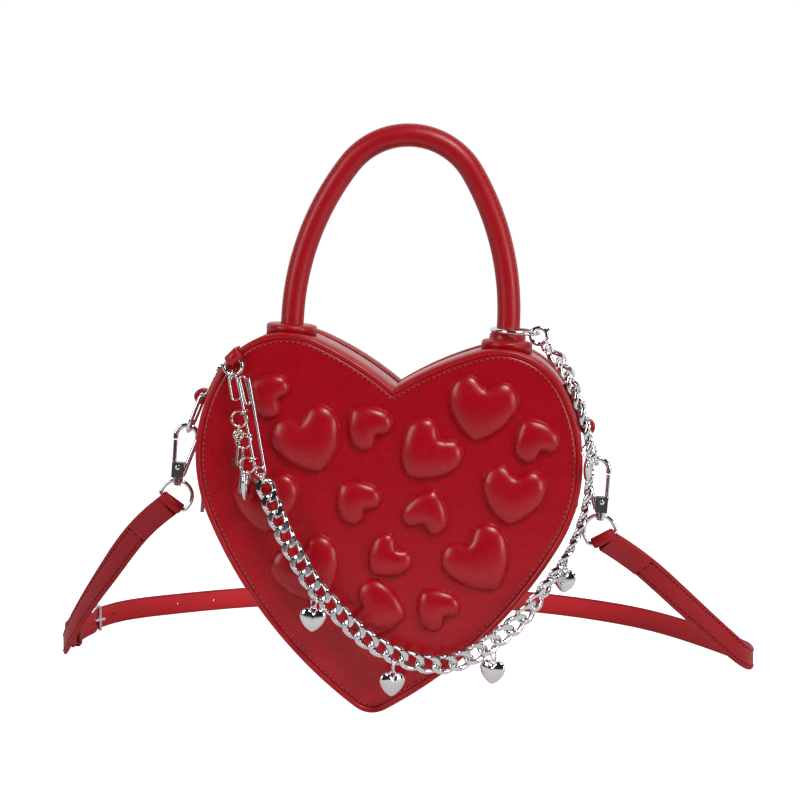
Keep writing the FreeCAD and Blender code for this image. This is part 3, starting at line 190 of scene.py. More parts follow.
def weaveGroup(v):
    group, start, end = newGroup(
        "plainWeave", {"Thread size": v["threadScale"], "Depth": v["depth"]},
        {"Normal": "Vector", "Height": "Float"},
    )
    height = addNode(group, "ShaderNodeMath")
    height.operation = "MULTIPLY"
    for entry, direction in enumerate(("X", "Z")):
        wave = addNode(group, "ShaderNodeTexWave")
        wave.bands_direction = direction
        connect(
            group, (start, "Vector", wave, "Vector"), (start, "Thread size", wave, "Scale"),
            (wave, "Fac", height, entry),
        )
    bump = addNode(group, "ShaderNodeBump", {"Distance": v["bump"]})
    connect(
        group,
        (start, "Depth", bump, "Strength"), (height, "Value", bump, "Height"),
        (bump, "Normal", end, "Normal"), (height, "Value", end, "Height"),
    )
    return group


leatherGrain = leatherGrainGroup(grainValues)
fingerSmudge = smudgeGroup(smudgeValues)
plainWeave = weaveGroup(weaveValues)


def newMaterial(name):
    material = bpy.data.materials.new(name)
    material.use_nodes = True
    tree = material.node_tree
    return material, tree, tree.nodes["Principled BSDF"], addNode(tree, "ShaderNodeTexCoord")


def useGroup(tree, group, coords, values):
    node = addNode(tree, "ShaderNodeGroup")
    node.node_tree = group
    connect(tree, (coords, "Object", node, "Vector"))
    return setInputs(node, values)


def mixColors(tree, source, output, first, second):
    mix = addNode(tree, "ShaderNodeMix")
    mix.data_type = "RGBA"
    connect(tree, (source, output, mix, "Factor"))
    return setInputs(mix, {"A": (*first, 1.0), "B": (*second, 1.0)})


def leather(name, dark, light, roughness, grain, crease, gloss):
    material, tree, shader, coords = newMaterial(name)
    surface = useGroup(tree, leatherGrain, coords, {"Grain depth": grain, "Crease depth": crease})
    color = mixColors(tree, surface, "Variation", dark, light)
    ends = {"Low": roughness, "High": roughness + finishValues["leatherSpread"]}
    smudge = useGroup(tree, fingerSmudge, coords, ends)
    connect(
        tree, (color, "Result", shader, "Base Color"), (surface, "Normal", shader, "Normal"),
        (smudge, "Roughness", shader, "Roughness"),
    )
    setInputs(shader, {"Specular IOR Level": gloss})
    return material


def metal(name, color, low, high):
    material, tree, shader, coords = newMaterial(name)
    smudge = useGroup(tree, fingerSmudge, coords, {"Low": low, "High": high})
    shade = tuple(channel * finishValues["metalShade"] for channel in color)
    tint = mixColors(tree, smudge, "Roughness", color, shade)
    connect(
        tree, (smudge, "Roughness", shader, "Roughness"), (tint, "Result", shader, "Base Color")
    )
    setInputs(shader, {"Metallic": 1.0})
    return material


def cloth(name, dark, light, size, depth):
    material, tree, shader, coords = newMaterial(name)
    weave = useGroup(tree, plainWeave, coords, {"Thread size": size, "Depth": depth})
    color = mixColors(tree, weave, "Height", dark, light)
    connect(tree, (color, "Result", shader, "Base Color"), (weave, "Normal", shader, "Normal"))
    setInputs(shader, {
        "Roughness": finishValues["clothRoughness"], "Specular IOR Level": finishValues["clothGloss"],
        "Sheen Weight": finishValues["clothSheen"], "Sheen Tint": (*light, 1.0),
    })
    return material


redLeather = leather("redLeather", (0.40, 0.0015, 0.008), (0.47, 0.002, 0.011), 0.26, 0.06, 0.03, 0.5)
redPiping = leather("redPiping", (0.40, 0.0020, 0.008), (0.47, 0.003, 0.011), 0.30, 0.05, 0.03, 0.5)
redStrap = leather("redStrap", (0.34, 0.0030, 0.009), (0.42, 0.004, 0.012), 0.46, 0.10, 0.08, 0.28)
# Inner face of the strap: lighter backing leather, brightened further as painted light on the strap
# lying behind the bag
strapBackingWithPaintedLight = leather(
    "strapBackingWithPaintedLight", (0.62, 0.022, 0.030), (0.70, 0.030, 0.040), 0.62, 0.14, 0.05, 0.25
)
redHandle = leather("redHandle", (0.40, 0.0020, 0.008), (0.47, 0.003, 0.011), 0.34, 0.10, 0.12, 0.5)
threadRed = cloth("threadRed", (0.44, 0.035, 0.042), (0.66, 0.14, 0.15), 2600.0, 0.4)
threadDark = cloth("threadDark", (0.16, 0.004, 0.008), (0.30, 0.010, 0.015), 2600.0, 0.5)
# Dark red thread for the strap stitches, also the colour of the painted shade in the panels' needle
# holes
deepThreadAndHoleShade = cloth("deepThreadAndHoleShade", (0.065, 0.002, 0.005), (0.13, 0.004, 0.009), 2600.0, 0.5)
tapeCloth = cloth("tapeCloth", (0.20, 0.004, 0.010), (0.36, 0.008, 0.018), 1600.0, 0.5)
liningCloth = cloth("liningCloth", (0.010, 0.009, 0.010), (0.035, 0.030, 0.034), 1300.0, 0.5)
boardStuff = cloth("boardStuff", (0.30, 0.25, 0.19), (0.40, 0.34, 0.26), 300.0, 0.1)
coreStuff = leather("coreStuff", (0.03, 0.03, 0.03), (0.05, 0.05, 0.05), 0.7, 0.1, 0.1, 0.3)
chromeMetal = metal("chromeMetal", (0.86, 0.86, 0.88), 0.04, 0.12)
chainMetal = metal("chainMetal", (0.80, 0.80, 0.82), 0.03, 0.09)
keyMetal = metal("keyMetal", (0.84, 0.78, 0.66), 0.10, 0.22)
print("stage: materials")


# Mesh helpers; every piece's place is in its mesh, in metres
def makeObject(name, points, faces, material):
    mesh = bpy.data.meshes.new(name)
    mesh.from_pydata([tuple(p) for p in points], [], faces)
    mesh.validate()
    mesh.update()
    mesh.polygons.foreach_set("use_smooth", [True] * len(mesh.polygons))
    thing = bpy.data.objects.new(name, mesh)
    bpy.context.scene.collection.objects.link(thing)
    if material:
        mesh.materials.append(material)
    return thing


def faceOutward(thing):
    work = bmesh.new()
    work.from_mesh(thing.data)
    bmesh.ops.recalc_face_normals(work, faces=work.faces)
    work.to_mesh(thing.data)
    work.free()
    return thing


# Rows of points joined by quads, closed into a ring or capped at both ends
def gridFaces(rows, columns, closed):
    faces = []
    for i in range(rows if closed else rows - 1):
        below, above = i * columns, ((i + 1) % rows) * columns
        for j in range(columns):
            k = (j + 1) % columns
            faces.append((below + j, below + k, above + k, above + j))
    if not closed:
        faces.append(tuple(reversed(range(columns))))
        faces.append(tuple(range((rows - 1) * columns, rows * columns)))
    return faces


def makeGrid(name, rows, material, closed=False):
    points = [spot(p) for row in rows for p in row]
    faces = gridFaces(len(rows), len(rows[0]), closed)
    return faceOutward(makeObject(name, points, faces, material))


# Frames along a path of points: place, heading, side and normal, carried along without twist
def pathFrames(path, closed, side):
    frames = []
    count = len(path)
    for i, place in enumerate(path):
        before = path[i - 1] if i or closed else path[i]
        after = path[(i + 1) % count] if i < count - 1 or closed else path[i]
        heading = (after - before).normalized()
        side = (side - heading * side.dot(heading)).normalized()
        frames.append((place, heading, side, heading.cross(side)))
    return frames


def circleRow(place, across, upward, radius, sides):
    return [
        place + across * (radius * math.cos(2 * math.pi * i / sides))
        + upward * (radius * math.sin(2 * math.pi * i / sides)) for i in range(sides)
    ]


def makeTube(name, path, radius, sides, material, closed=False, side=axisY):
    rows = [circleRow(p, s, n, radius, sides) for p, h, s, n in pathFrames(path, closed, side)]
    return makeGrid(name, rows, material, closed)


def makeRing(name, centre, normal, radius, wire, material, steps=48, sides=14):
    normal = Vector(normal).normalized()
    side = normal.orthogonal().normalized()
    path = circleRow(Vector(centre), side, normal.cross(side), radius, steps)
    return makeTube(name, path, wire, sides, material, closed=True, side=normal)


def joinPieces(name, pieces):
    points, faces, finishes, used = [], [], [], []
    for piece in pieces:
        start = len(points)
        own = list(piece.data.materials)
        finishes += [material for material in own if material not in finishes]
        points += [vertex.co.copy() for vertex in piece.data.vertices]
        for face in piece.data.polygons:
            faces.append(tuple(start + i for i in face.vertices))
            used.append(finishes.index(own[face.material_index]))
    for piece in pieces:
        bpy.data.objects.remove(piece)
    joined = makeObject(name, points, faces, None)
    for material in finishes:
        joined.data.materials.append(material)
    joined.data.polygons.foreach_set("material_index", used)
    return joined


# Corners of a flat band with its edges rounded off
def bandSection(half, thick, r):
    return [(-half + r, -thick), (half - r, -thick), (half, -thick + r), (half, thick - r),
            (half - r, thick), (-half + r, thick), (-half, thick - r), (-half, -thick + r)]


# The object as its modifiers leave it, as a plain mesh
def settle(thing, name):
    bpy.context.view_layer.update()
    graph = bpy.context.evaluated_depsgraph_get()
    mesh = bpy.data.meshes.new_from_object(thing.evaluated_get(graph))
    bpy.data.objects.remove(thing)
    made = bpy.data.objects.new(name, mesh)
    bpy.context.scene.collection.objects.link(made)
    return made


# Gives one column of a grid's faces a second material
def paintColumn(thing, columns, column, material):
    thing.data.materials.append(material)
    for face in thing.data.polygons:
        face.material_index = 1 if face.index % columns == column else 0
    return thing


def finishPiece(thing, body, slot, *nodes):
    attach(thing, body)
    if nodes:
        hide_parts(*nodes)
    return thing


# Heart outlines from tangent arcs, the same rule as the solids
bagHeart = dict(
    halfWidth=100.2, widest=128.5, sideRadius=82.0, lobeX=55.0, lobeZ=190.5, notch=166.0,
    lobeRoll=20.0, lowRadius=235.0, tipRadius=14.5, tipHeight=-4.2,
)
plumpHeart = dict(
    halfWidth=0.5, widest=0.61, sideRadius=0.31, lobeX=0.25, lobeZ=0.90, notch=0.765,
    lobeRoll=45.0, lowRadius=0.85, tipRadius=0.14, tipHeight=0.0,
)
plumpMiddle = (0.0, 0.5)


def heartArcs(h, inset):
    sideX, sideZ = h["halfWidth"] - h["sideRadius"], h["widest"]
    drop = h["sideRadius"] - (h["lobeZ"] - h["widest"])
    reach = h["lobeX"] - sideX
    lobeRadius = h["sideRadius"] - (reach ** 2 + drop ** 2) / (2 * drop)
    lobeX, lobeZ = h["lobeX"], h["lobeZ"] - lobeRadius
    lobeFrom = math.degrees(math.atan2(lobeZ - sideZ, lobeX - sideX))
    roll = math.radians(h["lobeRoll"])
    nx, nz = -math.sin(roll), math.cos(roll)
    px, pz = lobeX + lobeRadius * nx, lobeZ + lobeRadius * nz
    gx, gz = px, pz - h["notch"]
    innerRadius = (gx ** 2 + gz ** 2) / (2 * (gx * nx + gz * nz))
    innerX, innerZ = px - innerRadius * nx, pz - innerRadius * nz
    notchAngle = math.degrees(math.acos(-innerX / (innerRadius - inset)))
    sideReach = h["lowRadius"] - h["sideRadius"]
    tipReach = h["lowRadius"] - h["tipRadius"]
    tipZ = h["tipHeight"] + h["tipRadius"]
    dx, dz = -sideX, tipZ - sideZ
    span = math.hypot(dx, dz)
    along = (sideReach ** 2 - tipReach ** 2 + span ** 2) / (2 * span)
    across = math.sqrt(sideReach ** 2 - along ** 2)
    cx = sideX + along * dx / span + across * dz / span
    cz = sideZ + along * dz / span - across * dx / span
    lowFrom = math.degrees(math.atan2(tipZ - cz, -cx))
    lowTo = math.degrees(math.atan2(sideZ - cz, sideX - cx))
    right = [
        (cx, cz, h["lowRadius"] - inset, lowFrom, lowTo),
        (sideX, sideZ, h["sideRadius"] - inset, lowTo, lobeFrom),
        (lobeX, lobeZ, lobeRadius - inset, lobeFrom, 90 + h["lobeRoll"]),
        (innerX, innerZ, innerRadius - inset, 90 + h["lobeRoll"], notchAngle),
    ]
    tip = (0.0, tipZ, h["tipRadius"] - inset, -180 - lowFrom, lowFrom)
    left = [(-x, z, r, 180 - b, 180 - a) for x, z, r, a, b in reversed(right)]
    return [tip] + right + left


# Evenly spaced points of an outline, anticlockwise from the tip's left end
def heartPoints(h, inset, step):
    points = []
    for cx, cz, radius, low, high in heartArcs(h, inset):
        count = max(3, round(abs(math.radians(high - low)) * radius / step))
        for i in range(count):
            angle = math.radians(low + (high - low) * i / count)
            points.append((cx + radius * math.cos(angle), cz + radius * math.sin(angle)))
    return points


# Outline as a polar table about a middle point, so the inside is rings of the same shape
class PolarHeart:
    fineness = 150

    def __init__(self, h, inset, middle, count):
        outline = np.array(heartPoints(h, inset, h["halfWidth"] / self.fineness))
        rel = outline - np.array(middle)
        angles = np.arctan2(rel[:, 1], rel[:, 0])
        order = np.argsort(angles)
        angles = angles[order]
        self.angles = np.concatenate([angles - 2 * np.pi, angles, angles + 2 * np.pi])
        self.radii = np.tile(np.hypot(rel[:, 0], rel[:, 1])[order], 3)
        self.middle = np.array(middle)
        self.steps = np.linspace(-np.pi, np.pi, count, endpoint=False)

    def radius(self, angles):
        return np.interp(angles, self.angles, self.radii)


# Panels: a leather sheet rolled back at its edge, the front one with raised hearts
panelValues = dict(
    inset=3.0, front=-30.0, back=-27.6, middle=(0.0, 112.0), around=420, rings=44, edgeRoll=1.4,
    edgeDrop=0.55, edgeCrowd=1.15,
)
pillowValues = dict(
    front=-30.0, rise=5.6, fullness=0.5, foot=0.35, sunk=0.1, around=132, rings=26, leastRise=0.75,
    widthRise=0.25, fullWidth=35.0, footShares=[1.05, 1.015],
)
# Across, up, width and turn of each raised heart
pillowPlaces = [
    (-65.5, 158.7, 24.2, 110.0), (-41.1, 135.3, 36.6, -27.0), (-12.2, 146.8, 24.6, 133.0),
    (19.7, 134.1, 33.6, 37.0), (46.0, 159.0, 36.2, 8.0), (74.0, 146.8, 24.4, 149.0),
    (65.4, 115.6, 33.2, 6.0), (-15.3, 107.8, 24.6, 133.0), (22.3, 104.9, 25.0, 195.0),
    (-61.3, 101.7, 34.2, -5.0), (-36.7, 67.4, 37.0, -28.0), (3.1, 77.9, 24.4, 41.0),
    (1.8, 51.0, 30.0, -82.0), (30.0, 55.2, 23.8, 134.0), (51.5, 80.3, 36.6, -37.0),
]


# Height of a skin blown up over a heart of width 1, as a table over its square
blownValues = dict(low=(-0.55, -0.08), span=1.1, count=161, rounds=4000, tightness=5.5)


class BlownHeart:
    def __init__(self, v):
        shape = PolarHeart(plumpHeart, 0.0, plumpMiddle, 8)
        count, up = v["count"], plumpMiddle[1]
        self.low, self.cell = np.array(v["low"]), v["span"] / (count - 1)
        x, z = np.meshgrid(*(low + self.cell * np.arange(count) for low in self.low), indexing="ij")
        inside = np.hypot(x, z - up) < shape.radius(np.arctan2(z - up, x))
        skin = np.zeros((count, count))
        hold = 4 + (v["tightness"] * self.cell) ** 2
        for step in range(v["rounds"]):
            near = skin[:-2, 1:-1] + skin[2:, 1:-1] + skin[1:-1, :-2] + skin[1:-1, 2:]
            skin[1:-1, 1:-1] = np.where(inside[1:-1, 1:-1], (near + self.cell ** 2) / hold, 0)
        self.skin = skin / skin.max()

    def at(self, x, z):
        last = len(self.skin) - 2
        u, w = (np.clip((c - low) / self.cell, 0, last + 0.999) for c, low in zip((x, z), self.low))
        i, j = u.astype(int), w.astype(int)
        u, w = u - i, w - j
        skin = self.skin
        return ((1 - u) * (1 - w) * skin[i, j] + u * (1 - w) * skin[i + 1, j]
                + (1 - u) * w * skin[i, j + 1] + u * w * skin[i + 1, j + 1])


blownHeart = BlownHeart(blownValues)


# One raised heart: rows follow its outline from a sunk foot up over a tight shoulder
def buildPillow(place, v):
    px, pz, width, turn = place
    angle = math.radians(turn)
    shape = PolarHeart(plumpHeart, 0.0, plumpMiddle, v["around"])
    reach = shape.radius(shape.steps)
    rise = v["rise"] * (v["leastRise"] + v["widthRise"] * width / v["fullWidth"])
    shares = v["footShares"] + [1 - (i / v["rings"]) ** 2 for i in range(v["rings"])]
    rows = []
    for share in shares:
        x = reach * share * np.cos(shape.steps)
        z = plumpMiddle[1] + reach * share * np.sin(shape.steps)
        height = rise * blownHeart.at(x, z) ** v["fullness"]
        sunk = v["sunk"] if share == max(shares) else 0
        height = np.sqrt(height ** 2 + v["foot"] ** 2) - v["foot"] - sunk
        z = z - plumpHeart["lobeZ"] / 2
        outX = px + width * (x * math.cos(angle) + z * math.sin(angle))
        outZ = pz + width * (z * math.cos(angle) - x * math.sin(angle))
        rows.append([Vector(p) for p in zip(outX, v["front"] - height, outZ)])
    return makeGrid("pillow", rows, redLeather)


def buildPanel(name, v, facing, material):
    outline = PolarHeart(bagHeart, v["inset"], v["middle"], v["around"])
    reach = outline.radius(outline.steps)
    shares = np.linspace(0, 1, v["rings"] + 1)[1:]
    shares = 1 - (1 - shares) ** v["edgeCrowd"]
    rows = []
    for share in shares:
        x = v["middle"][0] + reach * share * np.cos(outline.steps)
        z = v["middle"][1] + reach * share * np.sin(outline.steps)
        edge = np.clip(1 - reach * (1 - share) / v["edgeRoll"], 0, 1)
        height = -v["edgeDrop"] * edge ** 2
        y = v["front"] + facing * height
        rows.append([Vector(p) for p in zip(x, y, z)])
    rim = [Vector((p.x, v["back"], p.z)) for p in rows[-1]]
    rows.append(rim)
    return makeGrid(name, rows, material)


frontSheet = buildPanel("frontSheet", panelValues, -1, redLeather)
pillows = [buildPillow(place, pillowValues) for place in pillowPlaces]
frontFace = joinPieces("frontFace", [frontSheet] + pillows)
finishPiece(frontFace, "bag", "red_leather", "front_panel")
backValues = dict(panelValues, front=30.0, back=27.6)
backFace = buildPanel("backFace", backValues, 1, redLeather)
finishPiece(backFace, "back_half", "red_leather", "back_panel")
print("stage: panels")

# Piping and the strips of the side wall
shellValues = dict(
    pipingRadius=1.6, pipingStep=1.6, pipingSides=16, pipingY=28.4, gussetThickness=1.8,
    gussetFront=-26.6, gussetBack=26.6, wallStep=2.0, lowerRows=16, slotFront=5.5, slotBack=18.5,
    zipEnd=110.0, wallGap=0.15, edgeRound=0.7,
)


def buildPiping(name, y, v):
    line = heartPoints(bagHeart, v["pipingRadius"], v["pipingStep"])
    path = [Vector((x, y, z)) for x, z in line]
    return makeTube(name, path, v["pipingRadius"], v["pipingSides"], redPiping, closed=True)


frontPiping = buildPiping("frontPiping", -shellValues["pipingY"], shellValues)
finishPiece(frontPiping, "bag", "red_piping", "front_piping")
backPiping = buildPiping("backPiping", shellValues["pipingY"], shellValues)
finishPiece(backPiping, "back_half", "red_piping", "back_piping")


def crossing(near, far, z):
    share = (z - near[1]) / (far[1] - near[1])
    return (near[0] + share * (far[0] - near[0]), z)


# The outline above a height, or below it, with both ends cut exactly at that height
def outlineBeyond(inset, step, height, above):
    points = heartPoints(bagHeart, inset, step)
    count = len(points)
    inside = [(z > height) == above for x, z in points]
    start = next(i for i in range(count) if inside[i] and not inside[i - 1])
    run = [points[(start + k) % count] for k in range(count)]
    kept = [p for p in run if (p[1] > height) == above]
    first = crossing(points[start - 1], kept[0], height)
    last = crossing(kept[-1], run[len(kept)], height)
    return [first] + kept + [last]


# Places of a line of the outline, each with its direction out of the bag
def wallPlaces(line):
    places = []
    for i, (x, z) in enumerate(line):
        beforeX, beforeZ = line[max(i - 1, 0)]
        afterX, afterZ = line[min(i + 1, len(line) - 1)]
        tangent = Vector((afterX - beforeX, 0, afterZ - beforeZ)).normalized()
        places.append((x, z, Vector((tangent.z, 0, -tangent.x))))
    return places


# Strip of the side wall: a rectangle with rounded outer edges, carried round part of the outline
def buildStrip(name, inset, depth, near, far, low, material, rounding):
    line = outlineBeyond(inset, shellValues["wallStep"], low, True)
    section = [
        (-rounding, near), (0, near + rounding), (0, far - rounding), (-rounding, far),
        (-depth, far), (-depth, near),
    ]
    rows = [
        [Vector((x + out.x * d, y, z + out.z * d)) for d, y in section]
        for x, z, out in wallPlaces(line)
    ]
    return makeGrid(name, rows, material)


def buildUpperGusset(v):
    for name, near, far, body, node in (
        ("gussetFrontWall", v["gussetFront"], v["slotFront"], "bag", "gusset_front"),
        ("gussetRearWall", v["slotBack"], v["gussetBack"], "back_half", "gusset_rear"),
    ):
        wall = buildStrip(
            name, 0, v["gussetThickness"], near, far, v["zipEnd"], redLeather, v["edgeRound"]
        )
        finishPiece(wall, body, "red_leather", node)


buildUpperGusset(shellValues)


# The lower strip joins the two halves and has rows across its depth
def buildLowerGusset(v):
    line = outlineBeyond(0, v["wallStep"], v["zipEnd"] - v["wallGap"], False)
    steps, depth = v["lowerRows"], v["gussetBack"] - v["gussetFront"]
    rows = []
    for x, z, out in wallPlaces(line):
        outer = [Vector((x, v["gussetFront"] + depth * k / steps, z)) for k in range(steps + 1)]
        inner = [p - out * v["gussetThickness"] for p in reversed(outer)]
        rows.append(outer + inner)
    return makeGrid("gussetLowerWall", rows, redLeather)


gussetLower = buildLowerGusset(shellValues)
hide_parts("gusset_lower")
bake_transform(gussetLower)
print("stage: side walls")

# Zip: woven tapes and rows of teeth
zipValues = dict(
    tapeInset=2.0, tapeDepth=0.8, tapeFront=(2.0, 9.6), tapeRear=(14.4, 22.0), rowInset=2.4,
    rowStep=1.5, tapeRound=0.2, rowFrontY=10.9, rowRearY=13.1, toothSize=(0.9, 3.0, 0.9),
    toothPitch=2.0, low=111.6,
)


# Geometry Nodes tree with named inputs and one geometry out
def newTree(name, inputs):
    tree = bpy.data.node_groups.new(name, "GeometryNodeTree")
    for socketName, kind in inputs.items():
        tree.interface.new_socket(socketName, in_out="INPUT", socket_type="NodeSocket" + kind)
    tree.interface.new_socket("Geometry", in_out="OUTPUT", socket_type="NodeSocketGeometry")
    return tree, addNode(tree, "NodeGroupInput"), addNode(tree, "NodeGroupOutput")


# Sets a small block or capsule at even steps along a line of edges
def runTree(name, rounded):
    tree, start, end = newTree(
        name, {"Geometry": "Geometry", "Pitch": "Float", "Size": "Vector", "Material": "Material"}
    )
    toCurve = addNode(tree, "GeometryNodeMeshToCurve")
    resample = addNode(tree, "GeometryNodeResampleCurve")
    resample.mode = "LENGTH"
    place = addNode(tree, "GeometryNodeInstanceOnPoints")
    tangent = addNode(tree, "GeometryNodeInputTangent")
    align = addNode(tree, "FunctionNodeAlignRotationToVector")
    align.axis = "X"
    if rounded:
        unit = addNode(tree, "GeometryNodeMeshUVSphere", {"Segments": 10, "Rings": 8, "Radius": 0.5})
    else:
        unit = addNode(tree, "GeometryNodeMeshCube")
    realize = addNode(tree, "GeometryNodeRealizeInstances")
    smooth = addNode(tree, "GeometryNodeSetShadeSmooth", {"Shade Smooth": rounded})
    paint = addNode(tree, "GeometryNodeSetMaterial")
    connect(
        tree,
        (start, "Geometry", toCurve, "Mesh"), (toCurve, "Curve", resample, "Curve"),
        (start, "Pitch", resample, "Length"), (resample, "Curve", place, "Points"),
        (unit, "Mesh", place, "Instance"), (tangent, "Tangent", align, "Vector"),
        (align, "Rotation", place, "Rotation"), (start, "Size", place, "Scale"),
        (place, "Instances", realize, "Geometry"), (realize, "Geometry", smooth, "Geometry"),
        (smooth, "Geometry", paint, "Geometry"), (start, "Material", paint, "Material"),
        (paint, "Geometry", end, "Geometry"),
    )
    return tree


stitchTree = runTree("stitchRun", True)
toothTree = runTree("toothRun", False)


def applyTree(name, thing, tree, values):
    modifier = thing.modifiers.new(name, "NODES")
    modifier.node_group = tree
    for socket in tree.interface.items_tree:
        if socket.in_out == "INPUT" and socket.name in values:
            modifier[socket.identifier] = values[socket.name]
    return settle(thing, name)


def edgeLines(name, lines):
    points, edges = [], []
    for line, closed in lines:
        start = len(points)
        points += [tuple(spot(p)) for p in line]
        edges += [(start + i, start + i + 1) for i in range(len(line) - 1)]
        if closed:
            edges.append((start + len(line) - 1, start))
    mesh = bpy.data.meshes.new(name)
    mesh.from_pydata(points, edges, [])
    thing = bpy.data.objects.new(name, mesh)
    bpy.context.scene.collection.objects.link(thing)
    return thing


def runAlong(name, lines, tree, pitch, size, material):
    thing = edgeLines(name + "Line", lines)
    size = tuple(c * mm for c in size)
    return applyTree(name, thing, tree, {"Pitch": pitch * mm, "Size": size, "Material": material})


def stitches(name, lines, body, slot, material, pitch=3.3, size=(2.5, 0.55, 0.55)):
    return finishPiece(runAlong(name, lines, stitchTree, pitch, size, material), body, slot)


# Moves both ends of a line forward along it, so its even steps fall between those of the first line
def shiftEnds(line, amount):
    line = list(line)
    line[0] = line[0] + (line[1] - line[0]).normalized() * amount
    line[-1] = line[-1] + (line[-1] - line[-2]).normalized() * amount
    return line


def buildZip(v):
    line = outlineBeyond(v["rowInset"], v["rowStep"], v["low"], True)
    half = v["toothPitch"] / 2
    for name, y, body, node, shift in (
        ("zipTeethFrontRow", v["rowFrontY"], "bag", "zip_teeth_front", 0.0),
        ("zipTeethRearRow", v["rowRearY"], "back_half", "zip_teeth_rear", half),
    ):
        run = [(shiftEnds([Vector((x, y, z)) for x, z in line], shift), False)]
        teeth = runAlong(name, run, toothTree, v["toothPitch"], v["toothSize"], chromeMetal)
        finishPiece(teeth, body, "steel", node)
    for name, (near, far), body, node in (
        ("zipTapeFrontCloth", v["tapeFront"], "bag", "zip_tape_front"),
        ("zipTapeRearCloth", v["tapeRear"], "back_half", "zip_tape_rear"),
    ):
        tape = buildStrip(
            name, v["tapeInset"], v["tapeDepth"], near, far, v["low"], tapeCloth, v["tapeRound"]
        )
        finishPiece(tape, body, "zip_tape", node)


buildZip(zipValues)
print("stage: zip")

# Stitch lines round both panels, just inside the panel's edge, with dark dots between the stitches as
# painted shade of the needle holes
panelStitch = dict(
    face=30.0, inset=4.5, depth=0.16, step=1.45, pitch=2.9, size=(2.0, 0.6, 0.75),
    # Size and depth of the dark dots of painted needle-hole shade
    hole=(0.75, 0.7, 0.5), holeDepth=0.0,
)


def buildPanelStitches(side, v):
    name, body = ("front", "bag") if side < 0 else ("back", "back_half")
    line = heartPoints(bagHeart, v["inset"], v["step"])
    for kind, points, depth, size, material in (
        ("Stitches", line, v["depth"], v["size"], threadRed),
        # Dark dots between the stitches, on the face: painted shade of the needle holes
        ("NeedleHoles", line[1:] + line[:1], v["holeDepth"], v["hole"], deepThreadAndHoleShade),
    ):
        run = [Vector((x, side * (v["face"] + depth), z)) for x, z in points]
        stitches(name + kind, [(run, True)], body, "red_leather", material, v["pitch"], size)


buildPanelStitches(-1, panelStitch)
buildPanelStitches(1, panelStitch)

# Handle: leather tube with a sewn seam on the inside of its arch
handleValues = dict(
    planeY=-12.0, halfSpan=56.2, spring=199.98, apex=296.0, topRadius=38.5, radius=6.0, foot=192.9,
    seamOut=5.85, seamAngle=-52.0, seamSkip=4, seamPitch=3.0, seamSize=(2.3, 0.6, 0.6), step=2.0,
    sides=28, legSteps=4,
)


def handlePath(v):
    step, legs = v["step"], v["legSteps"]
    reach, spare = v["apex"] - v["spring"] - v["topRadius"], v["halfSpan"] - v["topRadius"]
    sideRadius = (v["halfSpan"] ** 2 + reach ** 2 - v["topRadius"] ** 2) / (2 * spare)
    centreX, centreZ = v["halfSpan"] - sideRadius, v["spring"]
    topZ = v["apex"] - v["topRadius"]
    sweep = math.degrees(math.atan2(topZ - centreZ, -centreX))
    line = [(v["halfSpan"], v["foot"] + (v["spring"] - v["foot"]) * i / legs) for i in range(legs)]
    count = round(math.radians(sweep) * sideRadius / step)
    for i in range(count):
        a = math.radians(sweep * i / count)
        line.append((centreX + sideRadius * math.cos(a), centreZ + sideRadius * math.sin(a)))
    half = round(math.radians(90 - sweep) * v["topRadius"] / step)
    for i in range(half):
        a = math.radians(sweep + (90 - sweep) * i / half)
        line.append((v["topRadius"] * math.cos(a), topZ + v["topRadius"] * math.sin(a)))
    line.append((0.0, v["apex"]))
    line += [(-x, z) for x, z in reversed(line[:-1])]
    return [Vector((x, v["planeY"], z)) for x, z in line]


def buildHandle(v):
    path = handlePath(v)
    tube = makeTube("handleLeather", path, v["radius"], v["sides"], redHandle)
    finishPiece(tube, "bag", "red_leather", "handle_cover")
    angle = math.radians(v["seamAngle"])
    aside, up = -v["seamOut"] * math.cos(angle), v["seamOut"] * math.sin(angle)
    frames = pathFrames(path, False, axisY)[v["seamSkip"]:-v["seamSkip"]]
    seam = [place + side * aside + normal * up for place, heading, side, normal in frames]
    stitches(
        "handleSeam", [(seam, False)], "bag", "red_leather", threadDark, v["seamPitch"], v["seamSize"]
    )


buildHandle(handleValues)
print("stage: handle")

# Shoulder strap: flat band with rounded edges, two stitch rows, folds round its rings
strapValues = dict(
    width=13.0, thickness=2.4, rounding=0.8, foldRadius=3.0, twistStart=15.0, twistEnd=125.0,
    barCentre=(114.121, -10.0, 94.67), across=(0.848, 0.0, 0.53), buckleAt=232.0,
    buckleLength=12.5, tailLength=48.0, tailLift=4.2, tailDip=0.8, tailRest=2.9, stitchEdge=2.1,
    lapStart=3.0, lapEnd=34.0, lapThickness=1.3, lapNarrow=0.97, sewn=0.05,
    firstHole=238.75, holePitch=25.0, holeCount=5, holeReach=11.0,
    usedHole=(2.3, 2.2), spareHole=(0.65, 0.15), holeSides=24, creaseOver=50.0,
    settleOver=30.0, roundShare=0.7, corners=8, innerFace=4, foldSides=24, foldEdge=0.6, lapRows=16,
    buckleGap=2.4, endTrim=2.0, shortStep=3.0, longStep=2.5, buckleFoldLess=0.4, tipShare=0.55,
    tipGain=0.45, tipLength=6.0, stitchStep=2.0, crossPoints=5, sewnGap=2.5, shortSewnStop=6.0,
    longSewnFrom=40.0, stitchPitch=3.6, stitchSize=(2.3, 0.75, 0.5),
)
